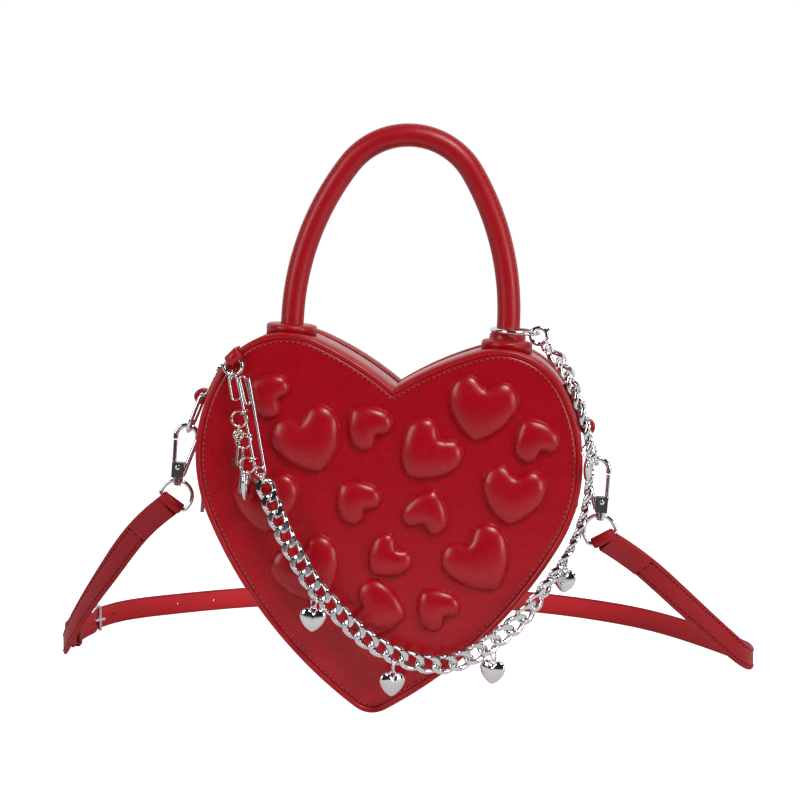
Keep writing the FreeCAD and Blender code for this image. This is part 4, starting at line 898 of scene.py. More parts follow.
# Points that the strap's middle line passes through, from the left ring behind the bag to the right one
strapRoute = [
    (-134.0, 8.0, 75.0), (-152.0, 29.0, 50.0), (-168.0, 50.0, 26.0), (-181.0, 69.0, 4.0),
    (-189.0, 90.0, -9.5), (-193.0, 115.0, -11.4), (-193.0, 145.0, -11.5), (-187.0, 175.0, -11.1),
    (-174.0, 199.0, -10.2), (-150.0, 219.0, -8.5), (-110.0, 243.0, -5.6), (-55.0, 259.0, -1.6),
    (0.0, 262.0, 2.3), (50.0, 254.0, 5.9), (91.0, 239.0, 8.8), (122.0, 220.0, 11.0),
    (148.0, 197.0, 12.9), (167.0, 172.0, 14.3), (183.0, 146.0, 15.4), (198.0, 118.0, 16.5),
    (206.0, 97.0, 17.1), (203.0, 78.0, 19.5), (187.0, 61.0, 33.0), (159.0, 33.0, 58.5),
    (136.0, 11.0, 79.0),
]
floorSlope = 0.0717
floorUp = Vector((-floorSlope, 0.0, 1.0)).normalized()


# Cubic spline through points, measured along its chords, as a table of places by length
class SmoothLine:
    samples, step = 40, 0.5

    def __init__(self, points):
        p = np.array(points, float)
        t = np.concatenate([[0], np.cumsum(np.linalg.norm(np.diff(p, axis=0), axis=1))])
        slopes = self.slopes(t, p)
        places = []
        for i in range(len(p) - 1):
            span = t[i + 1] - t[i]
            u = np.linspace(0, 1, self.samples, endpoint=i == len(p) - 2)[:, None]
            places.append(
                (2 * u ** 3 - 3 * u ** 2 + 1) * p[i] + (u ** 3 - 2 * u ** 2 + u) * span * slopes[i]
                + (3 * u ** 2 - 2 * u ** 3) * p[i + 1] + (u ** 3 - u ** 2) * span * slopes[i + 1]
            )
        self.places = np.concatenate(places)
        self.lengths = np.concatenate(
            [[0], np.cumsum(np.linalg.norm(np.diff(self.places, axis=0), axis=1))]
        )
        self.total = self.lengths[-1]

    def endSlope(self, t, p):
        a, b = t[1] - t[0], t[2] - t[0]
        return (p[1] - p[0]) / a + ((p[1] - p[0]) / a - (p[2] - p[0]) / b) * a / (b - a)

    def slopes(self, t, p):
        count = len(p)
        matrix, right = np.zeros((count, count)), np.zeros((count, 3))
        matrix[0, 0] = matrix[-1, -1] = 1
        right[0] = self.endSlope(t, p)
        right[-1] = self.endSlope(t[::-1], p[::-1])
        for i in range(1, count - 1):
            before, after = t[i] - t[i - 1], t[i + 1] - t[i]
            matrix[i, i - 1:i + 2] = after, 2 * (before + after), before
            right[i] = 3 * (after * (p[i] - p[i - 1]) / before + before * (p[i + 1] - p[i]) / after)
        return np.linalg.solve(matrix, right)

    def at(self, length):
        return Vector([np.interp(length, self.lengths, self.places[:, k]) for k in range(3)])

    def heading(self, length):
        return (self.at(length + self.step) - self.at(length - self.step)).normalized()


def mirrorX(point):
    return (-point[0], point[1], point[2])


strapLine = SmoothLine([mirrorX(strapValues["barCentre"])] + strapRoute + [strapValues["barCentre"]])


def strapFrame(length, v):
    step = strapLine.step
    place = strapLine.at(length)
    heading = strapLine.heading(min(max(length, step), strapLine.total - step))
    nearEnd = min(length, strapLine.total - length)
    share = min(max((nearEnd - v["twistStart"]) / (v["twistEnd"] - v["twistStart"]), 0), 1)
    share = share * share * (3 - 2 * share)
    bar = Vector(mirrorX(v["across"]) if length < strapLine.total / 2 else v["across"])
    width = bar * (1 - share) + floorUp * share
    width = (width - heading * width.dot(heading)).normalized()
    return place, heading, width, heading.cross(width)


# How far the long band lies off the middle line: over the short band, through the buckle, then on it
def tailRise(length, v):
    nearBar, farBar = v["buckleAt"], v["buckleAt"] + v["buckleLength"]
    if length <= nearBar:
        settled = min((nearBar - length) / v["settleOver"], 1.0)
        return v["tailLift"] + (v["tailRest"] - v["tailLift"]) * settled
    if length <= nearBar + v["foldRadius"]:
        return v["tailLift"]
    if length <= farBar:
        fall = (length - nearBar - v["foldRadius"]) / (v["buckleLength"] - v["foldRadius"])
        return v["tailLift"] + (v["tailDip"] - v["tailLift"]) * fall
    return v["tailDip"] * (1 - min((length - farBar) / v["settleOver"], 1.0))


def strapRow(length, lift, v, narrow=1.0, thickness=None):
    place, heading, width, normal = strapFrame(length, v)
    centre = place + normal * lift
    thick = (thickness or v["thickness"]) / 2
    rounding = min(v["rounding"], thick * v["roundShare"])
    section = bandSection(v["width"] / 2 * narrow, thick, rounding)
    return [centre + width * a + normal * b for a, b in section]


# Two rows of stitches on the outer face, joined across the strap at the end of each lap
def strapStitchRows(start, end, liftAt, v, crossAt):
    edge = v["width"] / 2 - v["stitchEdge"]

    def outerPlace(length, across):
        place, heading, width, normal = strapFrame(length, v)
        return place + width * across + normal * (liftAt(length) - v["thickness"] / 2 - v["sewn"])

    lengths = np.arange(start, end, v["stitchStep"])
    lines = [([outerPlace(length, side) for length in lengths], False) for side in (-edge, edge)]
    cross = np.linspace(-edge, edge, v["crossPoints"])
    lines.append(([outerPlace(crossAt, across) for across in cross], False))
    return lines


# Turned-back end of the strap, sewn down on its outer face
def buildLap(name, forward, v):
    lengths = np.linspace(v["lapStart"], v["lapEnd"], v["lapRows"])
    lift = -(v["thickness"] + v["lapThickness"]) / 2
    places = lengths if forward else strapLine.total - lengths
    rows = [strapRow(length, lift, v, v["lapNarrow"], v["lapThickness"]) for length in places]
    return makeGrid(name, rows, redStrap)


# Roll of the strap round a bar
def buildFold(name, centre, along, radius, v):
    centre, along = Vector(centre), Vector(along)
    up = along.orthogonal().normalized()
    across = along.cross(up)
    half, edge = v["width"] / 2, v["foldEdge"]
    rims = (
        (-half, radius - edge), (-half + edge, radius), (half - edge, radius), (half, radius - edge)
    )
    rows = [circleRow(centre + along * shift, up, across, r, v["foldSides"]) for shift, r in rims]
    return makeGrid(name, rows, redStrap)


# Holes punched through the long band, the first one widened by the prong
def punchStrap(band, v):
    slugs = []
    for i in range(v["holeCount"]):
        place, heading, width, normal = strapFrame(v["firstHole"] + i * v["holePitch"], v)
        radius, stretch = v["spareHole"] if i else v["usedHole"]
        half = circleRow(Vector(), heading, width, radius, v["holeSides"])
        rim = [p + heading * math.copysign(stretch, p.dot(heading)) for p in half]
        reaches = (-v["holeReach"], v["holeReach"])
        rows = [[place + p + normal * reach for p in rim] for reach in reaches]
        slugs.append(makeGrid("strapSlug", rows, redStrap))
    slug = joinPieces("strapSlugs", slugs)
    punch = band.modifiers.new("punch", "BOOLEAN")
    punch.operation, punch.solver, punch.object = "DIFFERENCE", "EXACT", slug
    band = settle(band, "strapLongBand")
    bpy.data.objects.remove(slug)
    return band


def buildStrap(v):
    end, start = v["buckleAt"] - v["buckleGap"], v["buckleAt"] - v["tailLength"]
    lengths = np.arange(v["endTrim"], end, v["shortStep"])
    band = makeGrid("strapShortBand", [strapRow(length, 0.0, v) for length in lengths], redStrap)
    place, heading, width, normal = strapFrame(v["buckleAt"], v)
    # The band's inner face gets the lighter backing, which also carries painted light
    short = joinPieces("strapShort", [
        paintColumn(band, v["corners"], v["innerFace"], strapBackingWithPaintedLight),
        buildFold("strapShortFold", mirrorX(v["barCentre"]), mirrorX(v["across"]), v["foldRadius"], v),
        buildLap("strapShortLap", True, v),
        buildFold("strapBuckleFold", place, width, v["foldRadius"] - v["buckleFoldLess"], v),
    ])
    finishPiece(short, "strap", "red_leather", "strap_left")
    rows = []
    for length in np.arange(start, strapLine.total - v["endTrim"], v["longStep"]):
        narrow = v["tipShare"] + v["tipGain"] * min((length - start) / v["tipLength"], 1.0) ** 0.5
        rows.append(strapRow(length, tailRise(length, v), v, narrow))
    band = makeGrid("strapLongBand", rows, redStrap)
    # The band's inner face gets the lighter backing, which also carries painted light
    long = joinPieces("strapLong", [
        punchStrap(paintColumn(band, v["corners"], v["innerFace"], strapBackingWithPaintedLight), v),
        buildFold("strapLongFold", v["barCentre"], v["across"], v["foldRadius"], v),
        buildLap("strapLongLap", False, v),
    ])
    long.data.set_sharp_from_angle(angle=math.radians(v["creaseOver"]))
    finishPiece(long, "strap", "red_leather", "strap_right")
    sewnFrom = v["lapEnd"] + v["sewnGap"]
    sewnTo = strapLine.total - sewnFrom
    rows = strapStitchRows(sewnFrom, end - v["shortSewnStop"], lambda length: 0.0, v, sewnFrom)
    rows += strapStitchRows(
        v["buckleAt"] + v["longSewnFrom"], sewnTo, lambda length: tailRise(length, v), v, sewnTo
    )
    stitches(
        "strapStitches", rows, "strap", "red_leather", deepThreadAndHoleShade, v["stitchPitch"], v["stitchSize"]
    )


buildStrap(strapValues)
print("stage: strap", round(strapLine.total, 1))

# Curb chain: one twisted link set at each place along the drape
chainValues = dict(
    halfLength=5.5, halfWidth=3.9, twist=1.6, wire=1.42, flatFace=2.15, pitch=8.5, wireSteps=56,
    wireSides=16, first=(-62.195, -39.297, 114.784), last=(77.173, -16.823, 192.034), turnFrom=155.0,
    turnTo=245.0, returnFrom=300.0, returnAngle=40.0, sharpOver=27.0,
)
chainRoute = [
    (-57.3, -41.0, 104.0), (-48.0, -41.0, 85.6), (-39.4, -41.0, 72.2), (-30.2, -41.0, 60.0),
    (-18.8, -41.0, 49.6), (-6.9, -41.0, 39.3), (6.5, -41.0, 32.2), (24.9, -41.0, 27.2),
    (45.4, -41.0, 30.1), (61.1, -40.8, 41.5), (73.6, -39.5, 52.7), (83.5, -36.8, 67.3),
    (93.3, -31.5, 82.9), (100.0, -27.0, 98.0), (103.2, -25.0, 111.0), (104.0, -24.5, 124.5),
    (103.6, -24.5, 137.0), (100.8, -24.5, 152.0), (95.9, -24.5, 165.5), (89.8, -22.8, 178.0),
    (84.0, -20.0, 186.2),
]


# The way a link faces: the front at first, then out from the right side wall
def chainFacing(length, total, along, v):
    share = min(max((length - v["turnFrom"]) / (v["turnTo"] - v["turnFrom"]), 0), 1)
    back = max((length - v["returnFrom"]) / (total - v["returnFrom"]), 0)
    angle = math.radians(90 * share * share * (3 - 2 * share) - v["returnAngle"] * back)
    aside = axisY.cross(along).normalized()
    return (aside * math.sin(angle) - axisY * math.cos(angle)).normalized()


def linkPath(v):
    path = []
    for i in range(v["wireSteps"]):
        a = 2 * math.pi * i / v["wireSteps"]
        x, y = v["halfLength"] * math.cos(a), v["halfWidth"] * math.sin(a)
        path.append(Vector((x, y, v["twist"] * math.sin(2 * a))))
    return path


# Sets one object at every point, turned by the point's own angles
def linkTree():
    tree, start, end = newTree(
        "chainRun", {"Geometry": "Geometry", "Link": "Object", "Material": "Material"}
    )
    place = addNode(tree, "GeometryNodeInstanceOnPoints")
    info = addNode(tree, "GeometryNodeObjectInfo")
    turn = addNode(tree, "GeometryNodeInputNamedAttribute", {"Name": "linkTurn"})
    turn.data_type = "FLOAT_VECTOR"
    toRotation = addNode(tree, "FunctionNodeEulerToRotation")
    realize = addNode(tree, "GeometryNodeRealizeInstances")
    paint = addNode(tree, "GeometryNodeSetMaterial")
    connect(
        tree,
        (start, "Geometry", place, "Points"), (start, "Link", info, "Object"),
        (info, "Geometry", place, "Instance"), (turn, "Attribute", toRotation, "Euler"),
        (toRotation, "Rotation", place, "Rotation"), (place, "Instances", realize, "Geometry"),
        (realize, "Geometry", paint, "Geometry"), (start, "Material", paint, "Material"),
        (paint, "Geometry", end, "Geometry"),
    )
    return tree


def buildChain(v):
    line = SmoothLine([v["first"]] + chainRoute + [v["last"]])
    overlap = v["halfLength"] - v["pitch"] / 2
    usable = line.total - 2 * overlap
    count = round(usable / v["pitch"])
    knots = [line.at(overlap + usable * i / count) for i in range(count + 1)]
    places, turns = [], []
    for i, (start, end) in enumerate(zip(knots, knots[1:])):
        along = (end - start).normalized()
        facing = chainFacing(overlap + usable * (i + 0.5) / count, line.total, along, v)
        across = facing.cross(along).normalized()
        turn = Matrix((along, across, along.cross(across))).transposed()
        places.append(tuple(spot((start + end) / 2)))
        turns += list(turn.to_euler())
    mesh = bpy.data.meshes.new("chainPlaces")
    mesh.from_pydata(places, [], [])
    mesh.attributes.new("linkTurn", "FLOAT_VECTOR", "POINT").data.foreach_set("vector", turns)
    holder = bpy.data.objects.new("chainPlaces", mesh)
    bpy.context.scene.collection.objects.link(holder)
    frames, flat = pathFrames(linkPath(v), True, axisZ), v["flatFace"]
    rows = [circleRow(p, s, n, v["wire"], v["wireSides"]) for p, h, s, n in frames]
    points = [Vector((p.x, p.y, min(max(p.z, -flat), flat))) * mm for row in rows for p in row]
    faces = gridFaces(len(rows), v["wireSides"], True)
    one = faceOutward(makeObject("chainOneLink", points, faces, chainMetal))
    one.data.set_sharp_from_angle(angle=math.radians(v["sharpOver"]))
    chain = applyTree("curbChain", holder, linkTree(), {"Link": one, "Material": chainMetal})
    bpy.data.objects.remove(one)
    return finishPiece(chain, "drape", "steel", "chain_links")


buildChain(chainValues)
print("stage: chain")

# Puffed heart charms on the chain, each with an eye and a ring that holds a link
charmValues = dict(
    width=13.8, rise=2.4, shoulder=0.8, around=96, rings=14, bailRadius=3.9, bailWire=0.5,
    eyeRadius=1.5, eyeWire=0.45, fall=(0.05, -0.42, -0.9), slack=1.8, eyeDrop=0.4,
    turns=(0.0, 24.0, -20.0, -30.0, 84.0),
)


def puffedHeart(name, eye, width, tall, facing, v, material):
    shape = PolarHeart(plumpHeart, 0.0, plumpMiddle, v["around"])
    reach = shape.radius(shape.steps)
    drop = tall * plumpHeart["notch"] + v["eyeRadius"] - v["eyeWire"]
    turn = Matrix.Rotation(math.radians(facing), 3, "Z")
    rows = []
    for i in range(2 * v["rings"]):
        a = math.pi * (i + 0.5) / (2 * v["rings"])
        share, y = math.sin(a) ** v["shoulder"], -v["rise"] * math.cos(a)
        row = []
        for step, radius in zip(shape.steps, reach):
            x = width * radius * share * math.cos(step)
            z = tall * (plumpMiddle[1] + radius * share * math.sin(step)) - drop
            row.append(Vector(eye) + turn @ Vector((x, y, z)))
        rows.append(row)
    return makeGrid(name, rows, material)


def buildCharms(v):
    fall = Vector(v["fall"]).normalized()
    for i, turn in enumerate(v["turns"], 1):
        hold, axis = jointAt("heart_%d_swing" % i)
        bail = hold + fall * v["slack"]
        eye = bail + fall * v["bailRadius"] - axisZ * v["eyeDrop"]
        flat = fall * axis.dot(fall) - axis
        heart = puffedHeart("charmHeart", eye, v["width"], v["width"], turn, v, chromeMetal)
        loop = makeRing("charmEye", eye, axisY, v["eyeRadius"], v["eyeWire"], chromeMetal)
        ring = makeRing("charmBail", bail, flat, v["bailRadius"], v["bailWire"], chromeMetal)
        whole = joinPieces("heartCharm%d" % i, [heart, loop, ring])
        finishPiece(whole, "heart_%d" % i, "steel", "heart_charm_%d" % i)


buildCharms(charmValues)

# Longer heart on the pin's fixed arm, turned edge-on
pinHeartValues = dict(
    width=12.6, tall=17.4, rise=2.0, shoulder=0.8, around=96, rings=14, eyeRadius=1.5, eyeWire=0.45,
    facing=80.0, stand=1.4, side=48.0, eyeDrop=0.42, linkRadius=2.1, linkWire=0.4, ringRadius=4.0,
    ringWire=0.5,
)


def buildPinHeart(v):
    side = math.radians(v["side"])
    hold, axis = jointAt("pin_heart_swing")
    held = hold - axisY * v["stand"]
    middle = held - Vector((math.cos(side), 0.0, math.sin(side))) * v["ringRadius"]
    eye = middle - axisZ * (v["ringRadius"] + v["eyeDrop"])
    linkNormal = Vector((math.sin(side), 0.0, -math.cos(side))) - axis
    heart = puffedHeart("pinHeartBody", eye, v["width"], v["tall"], v["facing"], v, chromeMetal)
    loop = makeRing("pinHeartEye", eye, axisX, v["eyeRadius"], v["eyeWire"], chromeMetal)
    ring = makeRing("pinHeartRing", middle, axisY, v["ringRadius"], v["ringWire"], chromeMetal)
    between = (hold + held) / 2
    link = makeRing("pinHeartLink", between, linkNormal, v["linkRadius"], v["linkWire"], chromeMetal)
    whole = joinPieces("pinHeart", [heart, loop, ring, link])
    finishPiece(whole, "pin_heart", "steel", "pin_charm_heart")


buildPinHeart(pinHeartValues)
print("stage: charms")

# Leather feet of the handle: discs that sit on the curved rim, the right one with a neck
footValues = dict(
    x=56.2, y=-12.0, lobeX=55.0, lobeZ=152.356, lobeRadius=38.144, base=190.48, sides=64,
    seatRadius=13.1, seatGap=0.1,
)
# Radius and height of each row of a foot, from its seat upward
flatFoot = [
    (13.2, 1.4), (13.3, 2.1), (13.0, 2.9), (12.3, 3.5), (11.4, 3.8), (8.0, 3.9), (6.3, 3.8), (5.6, 3.2),
]
neckedFoot = flatFoot[:5] + [
    (9.9, 3.9), (9.5, 4.4), (9.4, 6.2), (9.1, 6.9), (8.4, 7.4), (6.3, 7.4), (5.6, 6.8),
]


def buildFoot(name, side, profile, node, v):
    turns = [2 * math.pi * k / v["sides"] for k in range(v["sides"])]
    seat = []
    for a in turns:
        x, y = side * v["x"] + v["seatRadius"] * math.cos(a), v["y"] + v["seatRadius"] * math.sin(a)
        top = v["lobeZ"] + math.sqrt(v["lobeRadius"] ** 2 - (side * x - v["lobeX"]) ** 2)
        seat.append(Vector((x, y, top + v["seatGap"])))
    rows = [seat]
    for radius, rise in profile:
        centre = Vector((side * v["x"], v["y"], v["base"] + rise))
        rows.append(circleRow(centre, axisX, axisY, radius, v["sides"]))
    finishPiece(makeGrid(name, rows, redPiping), "bag", "red_leather", node)


buildFoot("handleFootLeft", -1, flatFoot, "handle_base_left", footValues)
buildFoot("handleFootRight", 1, neckedFoot, "handle_base_right", footValues)


# Leather band carried along a path: width along one direction, rounded edges
def bandRows(path, wide, width, thickness, rounding):
    rows = []
    section = bandSection(width / 2, thickness / 2, rounding)
    for i, place in enumerate(path):
        heading = (path[min(i + 1, len(path) - 1)] - path[max(i - 1, 0)]).normalized()
        normal = heading.cross(wide).normalized()
        rows.append([place + wide * a + normal * b for a, b in section])
    return rows


# Side tabs: a tail up the side wall and a loop round the D-ring, with stitches along both edges
tabValues = dict(
    centre=(18.2, 128.5), tailRadius=83.3, loopRadius=3.0, angle=16.2, tail=17.0, y=-10.0, width=9.6,
    thickness=2.1, rounding=0.6, loopTurn=285.0, tailSteps=8, loopSteps=24, stitchEdge=1.3,
    stitchRows=8, stitchPitch=2.6, stitchSize=(1.9, 0.5, 0.5),
)


def tabPath(v, lift):
    cx, cz = v["centre"]
    path = []
    for i in range(v["tailSteps"] + 1):
        a = math.radians(v["angle"] + v["tail"] * (1 - i / v["tailSteps"]))
        radius = v["tailRadius"] + lift
        path.append(Vector((cx + radius * math.cos(a), v["y"], cz + radius * math.sin(a))))
    a = math.radians(v["angle"])
    reach, roll = v["tailRadius"] + v["loopRadius"], v["loopRadius"] - lift
    x, z = cx + reach * math.cos(a), cz + reach * math.sin(a)
    for i in range(1, v["loopSteps"] + 1):
        turn = math.radians(v["angle"] + 180 + v["loopTurn"] * i / v["loopSteps"])
        path.append(Vector((x + roll * math.cos(turn), v["y"], z + roll * math.sin(turn))))
    return path


def buildSideTab(side, v):
    flip = Vector((side, 1, 1))
    path = [p * flip for p in tabPath(v, 0.0)]
    name, node = ("leftSideTab", "left_side_tab") if side < 0 else ("rightSideTab", "right_side_tab")
    tab = makeGrid(name, bandRows(path, axisY, v["width"], v["thickness"], v["rounding"]), redPiping)
    finishPiece(tab, "bag", "red_leather", node)
    top = [p * flip for p in tabPath(v, v["thickness"] / 2)][:v["stitchRows"]]
    edge = v["width"] / 2 - v["stitchEdge"]
    rows = [([p + axisY * shift for p in top], False) for shift in (-edge, edge)]
    stitches(
        name + "Stitches", rows, "bag", "red_leather", threadDark, v["stitchPitch"], v["stitchSize"]
    )


for side in (-1, 1):
    buildSideTab(side, tabValues)

# Small tab over the left rim: from the side wall, over the piping, rolled round the ring
rimTabValues = dict(
    centre=(-55.0, 152.356), angle=139.0, width=8.0, thickness=1.6, rounding=0.5, top=39.15, back=-18.6,
    loopCentre=(36.6, -32.5), loopRadius=2.55, loopTurn=200.0, topSteps=8, loopSteps=16, stitchEdge=1.2,
    stitchRows=7, stitchPitch=2.4, stitchSize=(1.7, 0.5, 0.5),
)


def buildRimTab(v):
    a = math.radians(v["angle"])
    out = Vector((math.cos(a), 0, math.sin(a)))
    wide = Vector((-math.sin(a), 0, math.cos(a)))
    base = Vector((v["centre"][0], 0, v["centre"][1]))
    loopOut, loopY = v["loopCentre"]
    steps = v["topSteps"]
    line = [(v["top"], v["back"] + (loopY - v["back"]) * i / steps) for i in range(steps)]
    for i in range(v["loopSteps"] + 1):
        turn = math.radians(v["loopTurn"] * i / v["loopSteps"])
        roll = v["loopRadius"]
        line.append((loopOut + roll * math.cos(turn), loopY - roll * math.sin(turn)))
    path = [base + out * reach + axisY * y for reach, y in line]
    tab = makeGrid("rimTab", bandRows(path, wide, v["width"], v["thickness"], v["rounding"]), redPiping)
    finishPiece(tab, "bag", "red_leather", "charm_tab")
    edge = v["width"] / 2 - v["stitchEdge"]
    top = [p + out * (v["thickness"] / 2) for p in path[:v["stitchRows"]]]
    rows = [([p + wide * shift for p in top], False) for shift in (-edge, edge)]
    stitches(
        "rimTabStitches", rows, "bag", "red_leather", threadDark, v["stitchPitch"], v["stitchSize"]
    )


buildRimTab(rimTabValues)

# Keeper loop round both lengths of the strap
keeperValues = dict(
    at=200.0, halfWidth=7.7, low=-2.4, high=5.3, band=8.0, thickness=1.3, corner=1.6, cornerSteps=6,
    rounding=0.4,
)


def buildKeeper(v):
    place, heading, width, normal = strapFrame(v["at"], strapValues)
    r = v["corner"]
    right, top, bottom = v["halfWidth"] - r, v["high"] - r, v["low"] + r
    path = []
    corners = ((right, top), (-right, top), (-right, bottom), (right, bottom))
    for (x, y), start in zip(corners, (0, 90, 180, 270)):
        for i in range(v["cornerSteps"] + 1):
            a = math.radians(start + 90 * i / v["cornerSteps"])
            path.append(place + width * (x + r * math.cos(a)) + normal * (y + r * math.sin(a)))
    path.append(path[0])
    rows = bandRows(path, heading, v["band"], v["thickness"], v["rounding"])
    finishPiece(makeGrid("strapKeeperBand", rows, redStrap), "strap", "red_leather", "strap_keeper")


buildKeeper(keeperValues)

# Leather ends below the zip, with a box of stitches
zipEndValues = dict(
    centre=(18.2, 128.5), radius=83.05, y=12.0, width=13.0, thickness=1.6, rounding=0.5, low=-20.0,
    high=-13.05, steps=6, stitchEdge=1.4, stitchPitch=2.4, stitchSize=(1.7, 0.5, 0.5),
)


def buildZipEnds(v):
    cx, cz = v["centre"]
    edge = v["width"] / 2 - v["stitchEdge"]
    pieces, rows = [], []
    for side in (-1, 1):
        path, line = [], []
        for i in range(v["steps"] + 1):
            a = math.radians(v["low"] + (v["high"] - v["low"]) * i / v["steps"])
            for points, radius in ((path, v["radius"]), (line, v["radius"] + v["thickness"] / 2)):
                x, z = side * (cx + radius * math.cos(a)), cz + radius * math.sin(a)
                points.append(Vector((x, v["y"], z)))
        band = bandRows(path, axisY, v["width"], v["thickness"], v["rounding"])
        pieces.append(makeGrid("zipEnd", band, redPiping))
        rows += [([p + axisY * shift for p in line[1:-1]], False) for shift in (-edge, edge)]
        rows += [([p - axisY * edge, p + axisY * edge], False) for p in (line[1], line[-2])]
    finishPiece(joinPieces("zipEnds", pieces), "bag", "red_leather", "zip_end_tabs")
    stitches(
        "zipEndStitches", rows, "bag", "red_leather", threadDark, v["stitchPitch"], v["stitchSize"]
    )


buildZipEnds(zipEndValues)

# Cloth linings with soft ripples, and a hemmed pocket on the back one
liningValues = dict(
    around=240, rings=30, ripple=0.25, wave=0.16, sway=1.3, swayWave=0.05, flatEdge=6, lift=0.5,
    edgeLift=0.02, inset=8.4, middle=(0.0, 112.0),
)


# The nearest and farthest depth of a solid of the frame, in millimetres
def depthsOf(node):
    return sorted(corner[1] / mm + gripPlace.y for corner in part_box(node))


def buildLining(name, node, body, inward, v):
    near, far = depthsOf(node)
    shape = PolarHeart(bagHeart, v["inset"], v["middle"], v["around"])
    reach = shape.radius(shape.steps)
    outer = near if inward > 0 else far
    rows = []
    for share in np.linspace(0, 1, v["rings"] + 1)[1:]:
        x = v["middle"][0] + reach * share * np.cos(shape.steps)
        z = v["middle"][1] + reach * share * np.sin(shape.steps)
        folds = 1 + np.sin(v["wave"] * x + v["sway"] * np.sin(v["swayWave"] * z))
        soft = v["ripple"] * folds * (1 - share ** v["flatEdge"])
        rows.append([Vector(p) for p in zip(x, outer + inward * (v["lift"] + soft), z)])
    rows.append([Vector((p.x, outer + inward * v["edgeLift"], p.z)) for p in rows[-1]])
    finishPiece(makeGrid(name, rows, liningCloth), body, "lining", node)


buildLining("frontLiningCloth", "front_lining", "bag", 1, liningValues)
buildLining("backLiningCloth", "back_lining", "back_half", -1, liningValues)
pocketValues = dict(
    half=45.0, low=62.0, high=128.0, sag=0.35, columns=46, rowsUp=34, hem=4.0, hemRise=0.25,
    stitchInset=2.0, stitchLift=0.1, stitchPitch=3.0, stitchSize=(2.2, 0.4, 0.4),
)


def buildPocket(v):
    near, far = depthsOf("inner_pocket")
    half, low, high = v["half"], v["low"], v["high"]
    xs = [-half + 2 * half * k / v["columns"] for k in range(v["columns"] + 1)]
    rows = []
    for i in range(v["rowsUp"] + 1):
        rise = i / v["rowsUp"]
        z = low + (high - low) * i / v["rowsUp"]
        hem = v["hemRise"] if z > high - v["hem"] else 0.0
        face = [Vector((x, near - hem - v["sag"] * rise * (1 - (x / half) ** 2), z)) for x in xs]
        rows.append(face + [Vector((x, far, z)) for x in reversed(xs)])
    pocket = makeGrid("innerPocketCloth", rows, liningCloth)
    finishPiece(pocket, "back_half", "lining", "inner_pocket")
    side, top, bottom = half - v["stitchInset"], high - v["stitchInset"], low + v["stitchInset"]
    corners = ((-side, top), (-side, bottom), (side, bottom), (side, top))
    line = [Vector((x, near - v["stitchLift"], z)) for x, z in corners]
    stitches(
        "pocketStitches", [(line, False)], "back_half", "lining", threadDark, v["stitchPitch"],
        v["stitchSize"],
    )


buildPocket(pocketValues)
print("stage: soft pieces")

# Domed heads of the gate's pin on both cheeks of each hook
rivetValues = dict(cheek=2.75, sunk=0.1, radius=1.35, rise=0.5, around=28, rings=7, openTop=0.5)


def buildRivets(name, v):
    hinge, axis = jointAt(name + "_gate_spring")
    heads = []
    for face in (-1, 1):
        rows = []
        for i in range(v["rings"]):
            tilt = math.pi / 2 * i / (v["rings"] - v["openTop"])
            out = v["cheek"] - v["sunk"] + v["rise"] * math.sin(tilt)
            centre = hinge + axisY * (face * out)
            rows.append(circleRow(centre, axisX, axisZ, v["radius"] * math.cos(tilt), v["around"]))
        heads.append(makeGrid("rivetHead", rows, chromeMetal))
    finishPiece(joinPieces(name + "HookRivets", heads), name + "_hook", "steel")


buildRivets("left", rivetValues)
buildRivets("right", rivetValues)

# Remaining metal and inner pieces keep their solids and get their own materials
nodeMaterials = {
    "front_board": boardStuff, "back_board": boardStuff, "handle_core": coreStuff,
    "pin_charm_key": keyMetal,
}
for name, node in frame["nodes"].items():
    material = nodeMaterials.get(name, chromeMetal)
    if not node.material_slots:
        node.data.materials.append(material)
    for materialSlot in node.material_slots:
        materialSlot.material = material
print("stage: carried over")

# Floor and light: white paper that the camera sees as plain white, soft boxes and a pale backdrop
stageValues = dict(
    floorSize=6.0, floorDrop=0.0005, paper=0.8, darkPaper=0.02, paperRoughness=0.9, fadeStart=0.15,
    fadeEnd=0.6, backdrop=0.8, studio=0.02, backdropFrom=-0.15, backdropTo=0.45,
    lightAim=(0.0, -30.0, 120.0),
)
# Name, place from the aim, size and power, in metres and watts
softBoxes = [
    ("keyBox", (0.45, -0.80, 1.20), (0.55, 0.45), 11.5),
    ("leftBox", (-1.20, -1.00, 0.50), (0.60, 1.00), 8.0),
    ("rightBox", (1.25, -0.85, 0.20), (0.50, 0.90), 7.0),
]
white = (1.0, 1.0, 1.0, 1.0)


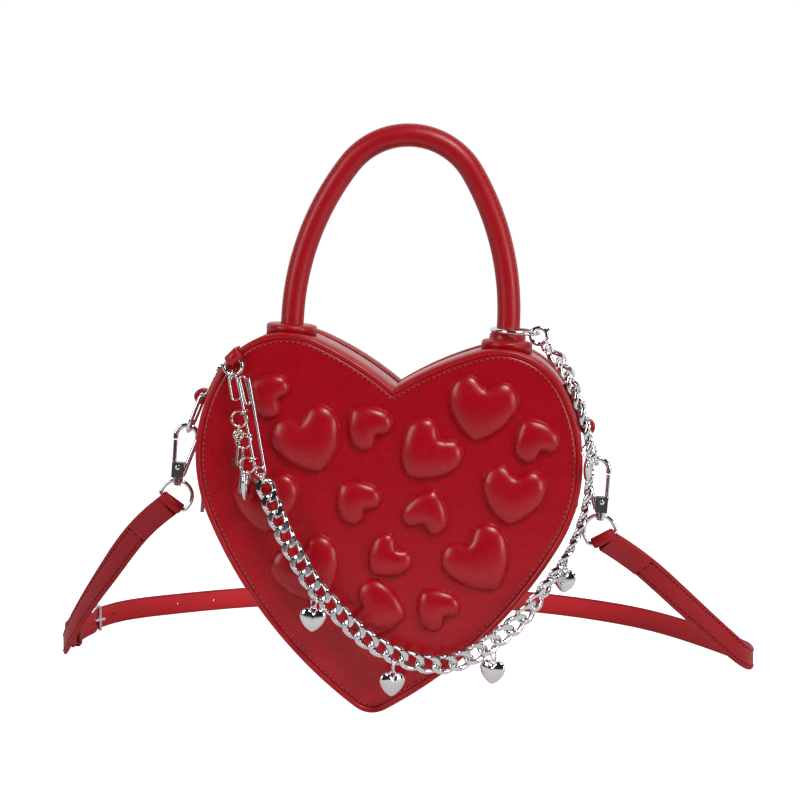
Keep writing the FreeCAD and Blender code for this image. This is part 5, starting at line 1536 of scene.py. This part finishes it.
def buildStage(v):
    tip = spot((0.0, 0.0, bagHeart["tipHeight"]))
    across = Vector((1.0, 0.0, floorSlope)).normalized() * (v["floorSize"] / 2)
    deep = axisY * (v["floorSize"] / 2)
    corners = [tip - across - deep, tip + across - deep, tip + across + deep, tip - across + deep]
    material, tree, shader, coords = newMaterial("paperFloor")
    split = addNode(tree, "ShaderNodeSeparateXYZ")
    fade = addNode(tree, "ShaderNodeMapRange", {
        "From Min": -v["fadeEnd"], "From Max": -v["fadeStart"],
        "To Min": v["darkPaper"], "To Max": v["paper"],
    })
    path = addNode(tree, "ShaderNodeLightPath")
    connect(
        tree,
        (coords, "Object", split, "Vector"), (split, "Y", fade, "Value"),
        (fade, "Result", shader, "Base Color"),
        (path, "Is Camera Ray", shader, "Emission Strength"),
    )
    setInputs(shader, {"Roughness": v["paperRoughness"], "Emission Color": white})
    floor = makeObject("paperFloor", corners, [(0, 1, 2, 3)], material)
    floor.location.z -= v["floorDrop"]


def areaLight(name, place, aim, size, power):
    data = bpy.data.lights.new(name, "AREA")
    data.shape = "RECTANGLE"
    data.size, data.size_y = size
    data.energy = power
    light = bpy.data.objects.new(name, data)
    light.location = place
    light.rotation_euler = (Vector(place) - Vector(aim)).to_track_quat("Z", "Y").to_euler()
    bpy.context.scene.collection.objects.link(light)


# The camera sees white; everything else sees a dark studio in front and a pale backdrop behind
def buildWorld(v):
    world = bpy.data.worlds.new("studio")
    bpy.context.scene.world = world
    world.use_nodes = True
    tree = world.node_tree
    tree.nodes.clear()
    out, mix = addNode(tree, "ShaderNodeOutputWorld"), addNode(tree, "ShaderNodeMixShader")
    seen = addNode(tree, "ShaderNodeBackground", {"Color": white})
    studio = addNode(tree, "ShaderNodeBackground", {"Color": white})
    path, coords = addNode(tree, "ShaderNodeLightPath"), addNode(tree, "ShaderNodeTexCoord")
    split = addNode(tree, "ShaderNodeSeparateXYZ")
    spread = addNode(tree, "ShaderNodeMapRange", {
        "From Min": v["backdropFrom"], "From Max": v["backdropTo"],
        "To Min": v["studio"], "To Max": v["backdrop"],
    })
    spread.interpolation_type = "SMOOTHSTEP"
    connect(
        tree,
        (coords, "Generated", split, "Vector"), (split, "Y", spread, "Value"),
        (spread, "Result", studio, "Strength"), (path, "Is Camera Ray", mix, "Fac"),
        (studio, "Background", mix, 1), (seen, "Background", mix, 2),
        (mix, "Shader", out, "Surface"),
    )


buildStage(stageValues)
buildWorld(stageValues)
lightAim = spot(stageValues["lightAim"])
for name, offset, size, power in softBoxes:
    areaLight(name, lightAim + Vector(offset), lightAim, size, power)
bpy.context.scene.view_settings.view_transform = "Standard"
print("stage: light")
